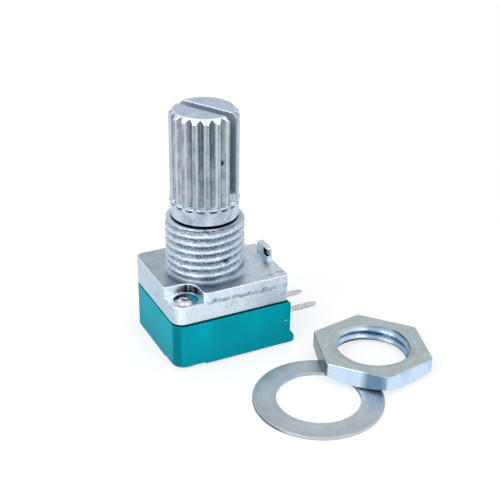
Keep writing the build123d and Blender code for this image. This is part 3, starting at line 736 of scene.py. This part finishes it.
def plain_stock(name, code, metallic, roughness, grain_mm, spread):
    """A stock material for the solids inside the housing, with a soft grain of its own size."""
    light = linear(code)
    return grained(name, shade(light, 1 - spread), light, metallic, roughness,
                   {"Scale": per(grain_mm), "Detail": 3.0}, (0.3, 0.7), (0.01, 0.3))


def white_paper(name):
    """Seamless white paper: matt, and pure white to the eye and in reflections."""
    material, tree, shader, where = finish_of(name, 0.0, 0.9)
    fibre = add(tree, NOISE, {"Vector": where["Object"], "Scale": per(4.0), "Detail": 2.0})
    body = painted(tree, linear("#F8F9FA"), (linear("#FCFCFD"), fibre))
    fill(tree, shader, {"Base Color": body, "Specular IOR Level": 0.1})
    rays = add(tree, 'ShaderNodeLightPath').outputs
    seen = rays["Is Camera Ray"]
    for kind in ("Is Glossy Ray", "Is Transmission Ray"):
        seen = add(tree, MATH, {0: seen, 1: rays[kind]}, operation='MAXIMUM')
    glow = add(tree, 'ShaderNodeEmission', {"Color": linear("#FFFFFF"), "Strength": 1.0})
    # A third of the paper's own shading is kept, which leaves the contact shadow
    both = add(tree, 'ShaderNodeMixShader', {0: all_of(tree, seen, 0.68), 1: shader, 2: glow})
    fill(tree, tree.nodes["Material Output"], {"Surface": both})
    return material


# Pieces

def spans(node):
    """A CAD node's lowest and highest corners in millimetres."""
    low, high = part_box(node)
    return [c * MM for c in low], [c * MM for c in high]


def corner_pocket(low, high, left, front):
    """The cutter for one corner pocket: a quarter round wall that rolls out into both sides."""
    x, y, radius = POCKET
    roll_front, roll_left = 0.5, 0.25
    outline = [(-PAST, -PAST), (x + radius + roll_front, -PAST)]
    outline += arc(x + radius + roll_front, front + roll_front, roll_front, 270, 180, 6)
    outline += arc(x, y, radius, 0, 90, 12)
    outline += arc(left + roll_left, y + radius + roll_left, roll_left, 270, 180, 5)
    outline += [(-PAST, y + radius + roll_left)]
    return prism(outline, low, high)


def half_turned(mesh):
    """The same cutter turned half round the shaft's axis."""
    twin = mesh.copy()
    twin.transform(Matrix.Rotation(math.pi, 4, 'Z'))
    return twin


def parting_flash(outline, level):
    """A torn sliver of metal along the seam of the die, round the plate's sides."""
    count, stride = len(outline), 0.07
    centre = sum((Vector(p) for p in outline), Vector((0.0, 0.0))) / count
    path = []
    for i in range(count):
        here, there = Vector(outline[i]), Vector(outline[(i + 1) % count])
        steps = max(1, round((there - here).length / stride))
        path += [here.lerp(there, k / steps) for k in range(steps)]
    rings = []
    for i, spot in enumerate(path):
        ahead = (path[(i + 1) % len(path)] - path[i - 1]).normalized()
        out = Vector((ahead.y, -ahead.x))
        if out.dot(spot - centre) < 0:
            out.negate()
        torn = noise.noise(Vector((spot.x, spot.y, 0.0)) * 3.1)
        torn += 0.8 * noise.noise(Vector((spot.x, spot.y, 4.0)) * 8.3)
        reach = 0.015 + 0.05 * max(-0.4, min(0.6, torn))
        sway = 0.05 * noise.noise(Vector((spot.x, spot.y, 9.0)) * 1.7)
        rings.append([(spot.x + out.x * far, spot.y + out.y * far, level + sway + rise)
                      for far, rise in ((-0.1, 0.07), (-0.1, -0.07), (reach * 0.5, -0.045),
                                        (reach, -0.01), (reach * 0.6, 0.03))])
    return wrap(rings, closed=True)


class POT_OT_plate(bpy.types.Operator):
    """Die-cast plate with its corner pockets, rivet wells and locating lug"""
    bl_idname = "potentiometer.plate"
    bl_label = "Die-cast plate"

    def execute(self, context):
        low, high = spans("bushing_housing")
        half = high[1]
        outline = rounded([(low[0], -half, 1.1), (high[0], -half, 0.25), (high[0], half, 1.1),
                           (low[0], half, 0.7)])
        # A thin gap stays open over the case
        plate = prism(outline, low[2] + 0.04, 0.0)
        floor, under, over = -0.9, -4.0, 1.0
        pocket = corner_pocket(floor, over, low[0], -half)
        cuts = [pocket, half_turned(pocket), prism(circle(0, 0, 2.55), under, over),
                prism(circle(0, 0, 3.5), under, -1.0)]
        mesh = machined(plate, cuts, settings().body.plate_edge * MM)
        # The wells lie close to rounded edges, so they are cut once those are made
        mesh = machined(mesh, [prism(circle(x, y, 1.06, 40), under, over) for x, y in WELLS])
        # Lug, seen along X: rounded at its far top, and notched where its near end was struck
        face = rounded([(-1.43, -0.5, 0), (0.70, -0.5, 0), (0.70, 1.12, 0.45),
                        (-1.43, 1.12, 0.12)])
        upright = prism(face, 5.5, 6.0, along='X')
        lug = machined(upright, [block(5.0, 5.8, -2.0, -0.7, 0.35, 0.95)], 0.05)
        flash = parting_flash(outline, -0.98)
        place("plate", gather([mesh, lug, flash]), tumbled_zinc("die_cast_zinc_tumbled"),
              "housing", "bushing_housing")
        return {'FINISHED'}


class POT_OT_bushing(bpy.types.Operator):
    """Threaded bushing, cast in one with the plate, with ragged crests and a flared base"""
    bl_idname = "potentiometer.bushing"
    bl_label = "Threaded bushing"

    def execute(self, context):
        size = settings().bushing
        high = spans("bushing_housing")[1][2]
        pitch, depth, rag = size.pitch * MM, size.depth * MM, size.rag * MM
        flare = size.flare * MM
        outer, middle, bore, steps = 3.5, 3.3, 2.56, 256
        root = outer - depth
        start = flare + 0.05

        def thread_radius(turn, z):
            """Distance from the axis to the cast surface at one angle and height."""
            side, back = math.cos(turn), math.sin(turn)
            here = Vector((side * middle, back * middle, z))
            sway = 0.05 * noise.noise(here * 0.9) + 0.035 * noise.noise(here * 2.7)
            crest = crest_at(turn, z + 0.087 + sway, pitch, 1.5, 0.16)
            # The thread runs out towards the flare
            crest *= min(1.0, max(0.0, (z - start) / 0.12))
            radius = root + depth * crest
            ragged = sum(weight * noise.noise(Vector((here.x, here.y, z * draw)) * scale)
                         for weight, draw, scale in ((0.8, 2.2, 2.4), (0.7, 1.6, 5.5),
                                                     (0.5, 1.0, 9.0)))
            radius += rag * ragged * (0.35 + 0.65 * crest)
            # Wider foot on the side of the lug
            reach = flare + 0.10 + 0.40 * max(0.0, side) ** 2
            if z < reach:
                fillet = reach - math.sqrt(max(0.0, reach ** 2 - (reach - z) ** 2))
                radius = max(radius, root + fillet)
            # Two nicks knocked into the crests
            for x, y, level, wide in ((0.69, -3.37, 1.99, 0.22), (-3.17, -1.25, 2.15, 0.09)):
                away = math.dist((3.43 * side, 3.43 * back, z), (x, y, level)) / wide
                radius -= 0.34 * math.exp(-away ** 2)
            return min(radius, outer + max(0.0, flare - z) * 2, outer - 0.30 + (high - z) * 1.2)

        # The rows of points lie closer on the flare and are even, 13 to a turn, on the thread
        first, rows_per_turn = 0.47, 13
        span = high - 0.05 - first
        rows = int(span / (pitch / rows_per_turn))
        levels = [0.0, 0.03, 0.07, 0.12, 0.18, 0.25, 0.33, 0.41]
        levels += [first + span * i / rows for i in range(rows + 1)]
        rings = [hoop(r, z, steps) for r, z in ((bore, -0.4), (3.2, -0.4), (3.2, -0.05))]
        rings += [hoop(lambda turn: thread_radius(turn, z), z, steps) for z in levels]
        rings += [hoop(r, z, steps) for r, z in (
            (outer - 0.40, high), (bore + 0.06, high), (bore, high - 0.06))]
        place("threaded_bushing", wrap(rings, closed=True),
              cast_thread_zinc("die_cast_zinc_thread"), "housing",
              "bushing_housing", crease=75)
        return {'FINISHED'}


class POT_OT_shaft(bpy.types.Operator):
    """Metal shaft with eighteen grooves, a screwdriver slot and a plain band under them"""
    bl_idname = "potentiometer.shaft"
    bl_label = "Splined shaft"

    def execute(self, context):
        size = settings().shaft
        low, top = (corner[2] for corner in spans("shaft"))
        depth, opening = size.groove_depth * MM, size.groove_opening * MM
        burr = size.burr * MM
        groove_end, outer, lip_reach = 6.9, 3.0, 7.4
        pitch = 360 / size.teeth
        offsets = (-9.2, -8.2, -7.4, -6.6, -5.2, -3.4, -1.5, 0.0, 1.5, 3.4, 5.2, 6.6, 7.4, 8.2, 9.2)
        angles = [math.radians(k * pitch + o) + SLOT_ANGLE
                  for k in range(size.teeth) for o in offsets]
        half = opening / 2

        def groove(turn):
            """Depth of the spline at an angle, with softened lips and root."""
            part = (math.degrees(turn - SLOT_ANGLE) + pitch / 2) % pitch - pitch / 2
            across = outer * math.sin(math.radians(part))
            fall = depth * (1 - math.sqrt(across ** 2 + 0.03 ** 2) / half)
            return 0.5 * (fall + math.sqrt(fall ** 2 + 0.02 ** 2)), part

        def ring(z, limit, cut, lip=0.0):
            points = []
            for turn in angles:
                deep, part = groove(turn)
                radius = min(limit, outer - deep * cut)
                radius += lip * max(0.0, 1 - (part / lip_reach) ** 2)
                points.append((radius * math.cos(turn), radius * math.sin(turn), z))
            return points

        rings = [ring(z, r, 0) for z, r in (
            (low, 0.8), (-4.4, 0.8), (-4.4, 1.3), (-1.75, 1.3), (-1.75, 2.5), (-1.4, 2.5),
            (-1.4, 2.1), (-1.06, 2.1), (-1.06, 2.5), (5.33, 2.5), (5.35, 2.56), (5.35, 2.93),
            (5.38, 2.98), (5.44, 3.0))]
        rings += [ring(z, outer, 0, burr * swell) for z, swell in (
            (5.9, 0), (6.3, 0), (6.5, 0), (6.62, 0.35), (6.72, 0.7), (6.80, 1), (6.85, 1),
            (groove_end, 0.4))]
        rings += [ring(groove_end + 0.03, outer, 0.55), ring(groove_end + 0.06, outer, 1)]
        rings += [ring(groove_end + 0.3 + i * 0.66, outer, 1) for i in range(11)]
        chamfer = top - 0.45
        rings += [ring(chamfer - 0.03, outer, 1), ring(chamfer + 0.04, outer - 0.02, 1)]
        rings += [ring(chamfer + d, outer - d, 1) for d in (0.12, 0.2, 0.28, 0.36, 0.41)]
        rings += [ring(top - 0.01, 2.565, 1), ring(top, 2.53, 1)]
        rings += [ring(top, r, 0) for r in (2.2, 1.6, 0.9, 0.3)]
        blank = wrap(rings)

        width = size.slot_width * MM / 2
        floor = top - size.slot_depth * MM
        cutter = prism([(-width, floor + 0.12), (-width + 0.12, floor), (width - 0.12, floor),
                        (width, floor + 0.12), (width, top - 0.07), (width + 0.08, top + 0.01),
                        (width + 0.08, top + 1), (-width - 0.08, top + 1),
                        (-width - 0.08, top + 0.01), (-width, top - 0.07)], -4.0, 4.0, along='Y')
        cutter.transform(Matrix.Rotation(SLOT_ANGLE - math.pi / 2, 4, 'Z'))
        mesh = machined(blank, [cutter], edge=0.025, steps=2, limit=62)
        place("splined_shaft", mesh, milled_shaft_metal("aluminium_turned_and_milled"), "rotor",
              "shaft")
        return {'FINISHED'}


class POT_OT_case(bpy.types.Operator):
    """Moulded case: rounded box with two feet, a rivet recess and slots for the terminals"""
    bl_idname = "potentiometer.case"
    bl_label = "Moulded case"

    def execute(self, context):
        low, high = spans("case_body")
        stand, half, toe = low[2], high[1], 0.35
        left, right, bottom, top = low[0], high[0] - toe, -7.0, -2.7
        outline = rounded([(left, -half, 1.1), (right, -half, 0.25), (right, half, 0.25),
                           (left, half, 1.1)])
        case = prism(outline, bottom, top)
        profile = [(right - 0.6, bottom + 1.2), (right - 0.6, bottom)]
        profile += [(right + 0.2, bottom), (right + toe, bottom + 0.15),
                    (right + toe, bottom + 0.65), (right, bottom + 1.2)]
        feet = [machined(prism(profile, start + 0.03, start + 1.37, along='Y'), edge=0.06)
                for start in (-half, half - 1.4)]
        feet += [machined(block(x - 0.9, x + 0.9, y - 0.6, y + 0.6, stand, bottom + 0.2),
                          edge=0.05) for x, y in ((4.9, -3.4), (-3.4, 3.4))]
        # Round shoulder along the upper edge over the terminals
        bend = 0.45
        shoulder = [(right + 0.5, top - bend), (right + 0.5, top + 0.5), (right - bend, top + 0.5)]
        shoulder += arc(right - bend, top - bend, bend, 90, 0, 8)
        # The board's chamber over the switch's, then recesses under the rivets, then slots
        recess = [(-PAST, -PAST), (-2.15, -PAST)] + arc(*POCKET, 0, 90, 12) + [(-PAST, -2.2)]
        cuts = [prism(shoulder, -6.0, 6.0, along='Y'),
                block(left + 0.6, right - 0.6, -half + 0.6, half - 0.6, -5.0, 0.0),
                block(left + 0.95, right - 0.6, -half + 0.95, half - 0.95, -6.45, -4.9),
                prism(recess, -PAST, -6.86), block(2.25, 4.75, 2.25, 4.75, -PAST, -6.65)]
        cuts += [block(5.0, 7.0, y - 0.37, y + 0.37, -5.3, -4.95) for y in PIN_ROWS]
        cuts += [block(x - 0.35, x + 0.35, 3.8, 5.5, -6.45, -6.2) for x in SWITCH_ROWS]
        shell = machined(case, cuts, settings().body.case_edge * MM)
        well = [(1.12, -6.8), (1.12, -2.72), (1.04, -2.72), (1.04, -1.12), (1.00, -1.08)]
        wells = [machined(turned(well, x, y), [prism(circle(x, y, 0.45, 24), -PAST, 0.0)])
                 for x, y in WELLS]
        place("moulded_case", gather([shell] + feet + wells), moulded_plastic("polyester_moulded"),
              "housing", "case_body")
        return {'FINISHED'}


class POT_OT_rivets(bpy.types.Operator):
    """Two rivets, each with a domed and dimpled head over its well and a flat formed foot"""
    bl_idname = "potentiometer.rivets"
    bl_label = "Rivets"

    def execute(self, context):
        stand = spans("case_rivets")[0][2]
        crown = -0.75
        head = [(0.42, -1.05), (0.86, -1.05), (0.90, -1.02), (0.89, -0.98), (0.82, -0.95),
                (0.75, -0.99), (0.70, -0.99), (0.69, -0.95), (0.63, -0.86), (0.52, -0.80),
                (0.40, -0.762), (0.30, crown), (0.20, crown - 0.012), (0.16, crown - 0.05),
                (0.12, crown - 0.10), (0.05, crown - 0.14)]
        foot = [(0.05, stand), (0.95, stand), (1.08, stand + 0.03), (1.16, stand + 0.08),
                (1.2, stand + 0.15), (1.2, -6.88), (0.42, -6.86)]
        rivets = [turned(foot + head, x, y) for x, y in RIVETS]
        # The thin lip round each head lies lower, and is covered, towards the shaft
        for rivet, (x, y) in zip(rivets, RIVETS):
            for point in rivet.vertices:
                out = Vector((point.co.x - x, point.co.y - y))
                if point.co.z > -1.1 and out.length > 0.72:
                    inward = Vector((-x, -y)).normalized()
                    point.co.z -= 0.22 * max(0.0, out.normalized().dot(inward))
        place("case_rivet_pair", gather(rivets), formed_rivet("aluminium_headed"), "housing",
              "case_rivets")
        return {'FINISHED'}


class POT_OT_terminals(bpy.types.Operator):
    """Three resistor pins and two switch pins, flat tinned strips with tapered tips"""
    bl_idname = "potentiometer.terminals"
    bl_label = "Terminals"

    def execute(self, context):
        edge = settings().body.pin_edge * MM
        tin = speckled_tin("brass_tin_plated")
        for number, y in enumerate(PIN_ROWS, start=1):
            # Cropped a little shorter towards the far side
            tip = spans("pot_terminal_%d" % number)[1][0] - 0.15 * (number - 1)
            near = [(4.5, 0.32), (tip - 0.7, 0.32), (tip - 0.3, 0.22), (tip - 0.08, 0.12)]
            outline = [(x, y - half) for x, half in near] + [(tip, y)]
            outline += [(x, y + half) for x, half in reversed(near)]
            pin = machined(prism(outline, -5.25, -5.0), edge=edge)
            stake = machined(block(4.75, 5.25, y - 0.4, y + 0.4, -5.1, -4.1), edge=edge)
            head = machined(block(4.6, 5.4, y - 0.55, y + 0.55, -4.2, -4.05), edge=edge)
            place("resistor_pin_%d" % number, gather([pin, stake, head]), tin, "housing",
                  "pot_terminal_%d" % number)
        for number, x in enumerate(SWITCH_ROWS, start=1):
            low, high = spans("switch_terminal_%d" % number)
            tip = high[1]
            right = [(x + 0.3, low[1] + 0.1), (x + 0.3, tip - 0.7), (x + 0.12, tip - 0.06)]
            outline = [(x - 0.3, low[1] + 0.1)] + right + [(x, tip), (x - 0.12, tip - 0.06),
                                                           (x - 0.3, tip - 0.7)]
            pin = machined(prism(outline, -6.45, -6.25), edge=edge)
            arm = block(low[0], high[0], low[1], low[1] + 0.5, -6.45, -6.25)
            place("switch_pin_%d" % number, gather([pin, arm]), tin, "housing",
                  "switch_terminal_%d" % number)
        return {'FINISHED'}


class POT_OT_nut(bpy.types.Operator):
    """Hexagon nut with a turned face, rounded lower corners and its thread cut inside"""
    bl_idname = "potentiometer.nut"
    bl_label = "Hexagon nut"

    def execute(self, context):
        size = settings().hardware
        pitch, edge = size.nut_pitch * MM, size.nut_edge * MM
        flat, corner, thick, steps = 4.75, 4.68, 1.6, 240
        bore, mouth, root = 3.12, 3.55, 3.48

        def hexagon(turn, shrink=0.0):
            """Distance from the centre to the six-sided outline, its corners just softened."""
            part = (turn + math.pi / 6) % (math.pi / 3) - math.pi / 6
            near = math.cos(math.pi / 6 - abs(part))
            far = math.cos(math.pi / 6 + abs(part))
            return (flat - shrink) / (near ** 60 + far ** 60) ** (1 / 60)

        def inside(turn, z):
            """Distance from the centre to the thread in the bore, which opens at both ends."""
            crest = crest_at(turn, z, pitch, 1.3, 0.1)
            return max(root - (root - bore) * crest, mouth - 2.4 * min(thick - z, z))

        rings = [hoop(r, z, steps) for r, z in ((mouth, 0.0), (4.62, 0.0), (corner, 0.012))]
        rings += [hoop(lambda turn: min(hexagon(turn), corner + z * 2.3), z, steps)
                  for z in (0.03, 0.06, 0.1, 0.14, 0.19, 0.24, 0.3, 0.36, 0.44)]
        rings += [hoop(hexagon, z, steps) for z in (0.7, 1.1, thick - edge)]
        rings += [hoop(lambda turn: hexagon(turn, edge * shrink), thick - edge * under, steps)
                  for under, shrink in ((0.7, 0.05), (0.3, 0.3), (0.05, 0.7), (0.0, 1.0))]
        rings += [hoop(r, thick, steps) for r in (4.4, mouth + 0.04)]
        margin, rows = 0.015, 30
        for k in range(rows + 1):
            z = thick - margin - (thick - 2 * margin) * k / rows
            rings.append(hoop(lambda turn: inside(turn, z), z, steps))
        mesh = wrap(rings, closed=True)

        # It leans on the washer: the washer's centre, thickness and radius, then how far off
        # and in which direction the nut lies, and how far it is turned
        x, y, thin, reach = 4.3, -13.6, 0.3, 5.6
        distance, ahead, twist = 7.6, math.radians(23), math.radians(12.5)
        edge_out = flat - 0.05
        lean = math.atan(thin / (distance - reach + edge_out))
        stand = spans("flat_washer")[0][2]
        lift = stand + edge_out * math.sin(lean) + 0.01
        centre = (x + distance * math.cos(ahead), y + distance * math.sin(ahead), lift)
        mesh.transform(Matrix.Translation(centre) @ Matrix.Rotation(ahead, 4, 'Z')
                       @ Matrix.Rotation(lean, 4, 'Y') @ Matrix.Rotation(twist - ahead, 4, 'Z'))
        look = settings().finish
        steel = plated_steel("steel_turned_zinc_plated", look.nut_face, look.nut_side, centre,
                             bore, 0.35, 0.26)
        place("hexagon_nut", mesh, steel, "nut", "hex_nut")
        return {'FINISHED'}


class POT_OT_washer(bpy.types.Operator):
    """Thin flat washer, its upper edges rolled over by the punch"""
    bl_idname = "potentiometer.washer"
    bl_label = "Flat washer"

    def execute(self, context):
        edge = settings().hardware.washer_edge * MM
        low, high = spans("flat_washer")
        x, y = (low[0] + high[0]) / 2, (low[1] + high[1]) / 2
        under, top = low[2], high[2]
        outer, inner, lower_edge, steps = 5.598, 3.6, 0.02, 160
        profile = [(inner, under + lower_edge), (inner + lower_edge, under),
                   (outer - lower_edge, under), (outer, under + lower_edge), (outer, top - edge),
                   (outer - edge * 0.3, top - edge * 0.3), (outer - edge, top),
                   (outer - 0.6, top), (inner + 0.6, top), (inner + edge, top),
                   (inner + edge * 0.3, top - edge * 0.3), (inner, top - edge)]
        rings = [hoop(r, z, steps, x, y) for r, z in profile]
        look = settings().finish
        steel = plated_steel("steel_stamped_zinc_plated", look.washer, look.washer,
                             (x, y, top), 0.0, 0.5, 0.46)
        place("flat_washer_ring", wrap(rings, closed=True), steel, "washer",
              "flat_washer")
        return {'FINISHED'}


class POT_OT_inner_finishes(bpy.types.Operator):
    """Finishes for the solids that stay as they are inside the housing"""
    bl_idname = "potentiometer.inner_finishes"
    bl_label = "Inner finishes"

    def execute(self, context):
        # Material, colour, metallic, roughness, grain in millimetres, spread of the tone
        stock = {
            "resistor_board": ("phenolic_paper_punched", "#7A4E2D", 0.0, 0.55, 0.3, 0.25),
            "resistive_track": ("carbon_ink_printed", "#1D1D20", 0.0, 0.6, 0.1, 0.3),
            "track_leads": ("silver_ink_printed", "#C9C9C4", 1.0, 0.4, 0.1, 0.15),
            "collector_ring": ("silver_ink_ring", "#C9C9C4", 1.0, 0.4, 0.1, 0.15),
            "switch_detent_spring": ("spring_steel_rolled", "#A5AAB0", 1.0, 0.3, 0.2, 0.1),
            "retaining_ring": ("spring_steel_stamped", "#9A9FA5", 1.0, 0.35, 0.2, 0.15),
            "wiper_carrier": ("nylon_black_moulded", "#26272A", 0.0, 0.5, 0.4, 0.2),
            "wiper_spring": ("phosphor_bronze_rolled", "#C99A66", 1.0, 0.3, 0.3, 0.12),
            "switch_cam": ("acetal_white_moulded", "#E4E1D6", 0.0, 0.45, 0.5, 0.06),
            "switch_lever": ("acetal_moulded_lever", "#E4E1D6", 0.0, 0.45, 0.5, 0.06),
            "switch_contact_bridge": ("bronze_silver_faced", "#C6A57A", 1.0, 0.3, 0.2, 0.1),
        }
        for node, recipe in stock.items():
            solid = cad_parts[node]
            solid.data.materials.clear()
            solid.data.materials.append(plain_stock(*recipe))
        return {'FINISHED'}


class POT_OT_stage(bpy.types.Operator):
    """White floor, white room, two large soft lamps and the camera"""
    bl_idname = "potentiometer.stage"
    bl_label = "Stage"

    def execute(self, context):
        scene = context.scene
        stage = settings().stage
        stand, reach = CAD_BOX[0][2], 3.0
        floor = bpy.data.meshes.new("floor")
        floor.from_pydata([(x * reach, y * reach, stand)
                           for x, y in ((-1, -1), (1, -1), (1, 1), (-1, 1))], [], [[0, 1, 2, 3]])
        plane = bpy.data.objects.new("floor", floor)
        scene.collection.objects.link(plane)
        floor.materials.append(white_paper("white_paper_sweep"))

        world = bpy.data.worlds.new("white_room")
        scene.world = world
        world.use_nodes = True
        tree = world.node_tree
        way = add(tree, 'ShaderNodeTexCoord').outputs["Generated"]
        part = add(tree, SPLIT, {"Vector": way}).outputs
        rise = add(tree, RANGE, {"Value": part["Z"], "From Min": 0.05, "From Max": 0.85},
                   interpolation_type='SMOOTHSTEP')
        # The eye sees plain white behind the floor; only light and reflections see the tones
        eye = add(tree, 'ShaderNodeLightPath').outputs["Is Camera Ray"]
        white = linear("#FFFFFF")
        room = painted(tree, linear("#C9D2DC"), (white, rise), (white, eye))
        fill(tree, tree.nodes["Background"], {"Color": room, "Strength": stage.sky})

        lamps = (("key_lamp", stage.key, (-0.22, -0.06, 0.20), 0.16),
                 ("fill_lamp", stage.fill, (0.06, -0.24, 0.26), 0.14))
        for name, power, spot, width in lamps:
            lamp = bpy.data.lights.new(name, 'AREA')
            lamp.energy = power
            lamp.size = width
            holder = bpy.data.objects.new(name, lamp)
            holder.location = spot
            holder.rotation_euler = (-Vector(spot)).to_track_quat('-Z', 'Y').to_euler()
            scene.collection.objects.link(holder)

        scene.view_settings.view_transform = 'Standard'
        scene.camera = photo_camera()
        scene.collection.objects.link(scene.camera)
        return {'FINISHED'}


def photo_camera():
    """A camera at the photograph's angle, distance and lens."""
    turn, tilt, roll = math.radians(-26.6745), math.radians(28.1717), math.radians(-0.8011)
    # Focal length and picture width in pixels, distance in metres, film width in millimetres
    focal, picture, distance, film = 1133.42, 500, 0.101385, 36.0
    ahead = Vector((-math.sin(turn) * math.cos(tilt), math.cos(turn) * math.cos(tilt),
                    -math.sin(tilt)))
    level = Vector((math.cos(turn), math.sin(turn), 0.0))
    down = ahead.cross(level)
    right = level * math.cos(roll) + down * math.sin(roll)
    below = down * math.cos(roll) - level * math.sin(roll)
    # The origin's place in the picture, from its centre
    across, under = ((pixel - picture / 2) / focal for pixel in (205.0715, 265.4004))
    place_at = -(right * across + below * under + ahead) * distance
    camera = bpy.data.cameras.new("camera")
    camera.sensor_width = film
    camera.lens = focal * film / picture
    camera.clip_start = 0.005
    camera.clip_end = 10.0
    holder = bpy.data.objects.new("camera", camera)
    axes = Matrix((right, -below, -ahead)).transposed()
    holder.matrix_world = Matrix.Translation(place_at) @ axes.to_4x4()
    return holder


OPERATORS = (POT_OT_stage, POT_OT_plate, POT_OT_bushing, POT_OT_shaft, POT_OT_case,
             POT_OT_rivets, POT_OT_terminals, POT_OT_nut, POT_OT_washer, POT_OT_inner_finishes)


class POT_PT_panel(bpy.types.Panel):
    """Sizes, colours and pieces of the potentiometer"""
    bl_idname = "POT_PT_panel"
    bl_label = "Potentiometer"
    bl_space_type = 'VIEW_3D'
    bl_region_type = 'UI'
    bl_category = "Potentiometer"

    def draw(self, context):
        layout = self.layout
        groups = context.scene.potentiometer
        for part in ("bushing", "shaft", "body", "hardware", "finish", "stage"):
            box = layout.box()
            box.label(text=part.capitalize())
            group = getattr(groups, part)
            for name in group.__annotations__:
                box.prop(group, name)
        for operator in OPERATORS:
            layout.operator(operator.bl_idname)


GROUPS = (BushingSizes, ShaftSizes, BodySizes, HardwareSizes, FinishColours, StageSettings,
          Potentiometer)


def register():
    for group in GROUPS + OPERATORS + (POT_PT_panel,):
        bpy.utils.register_class(group)
    bpy.types.Scene.potentiometer = PointerProperty(type=Potentiometer)


def unregister():
    del bpy.types.Scene.potentiometer
    for group in reversed(GROUPS + OPERATORS + (POT_PT_panel,)):
        bpy.utils.unregister_class(group)


def main():
    register()
    bpy.ops.potentiometer.stage()
    bpy.ops.potentiometer.plate()
    bpy.ops.potentiometer.bushing()
    bpy.ops.potentiometer.shaft()
    bpy.ops.potentiometer.case()
    bpy.ops.potentiometer.rivets()
    bpy.ops.potentiometer.terminals()
    bpy.ops.potentiometer.nut()
    bpy.ops.potentiometer.washer()
    bpy.ops.potentiometer.inner_finishes()


if __name__ == "__main__":
    main()
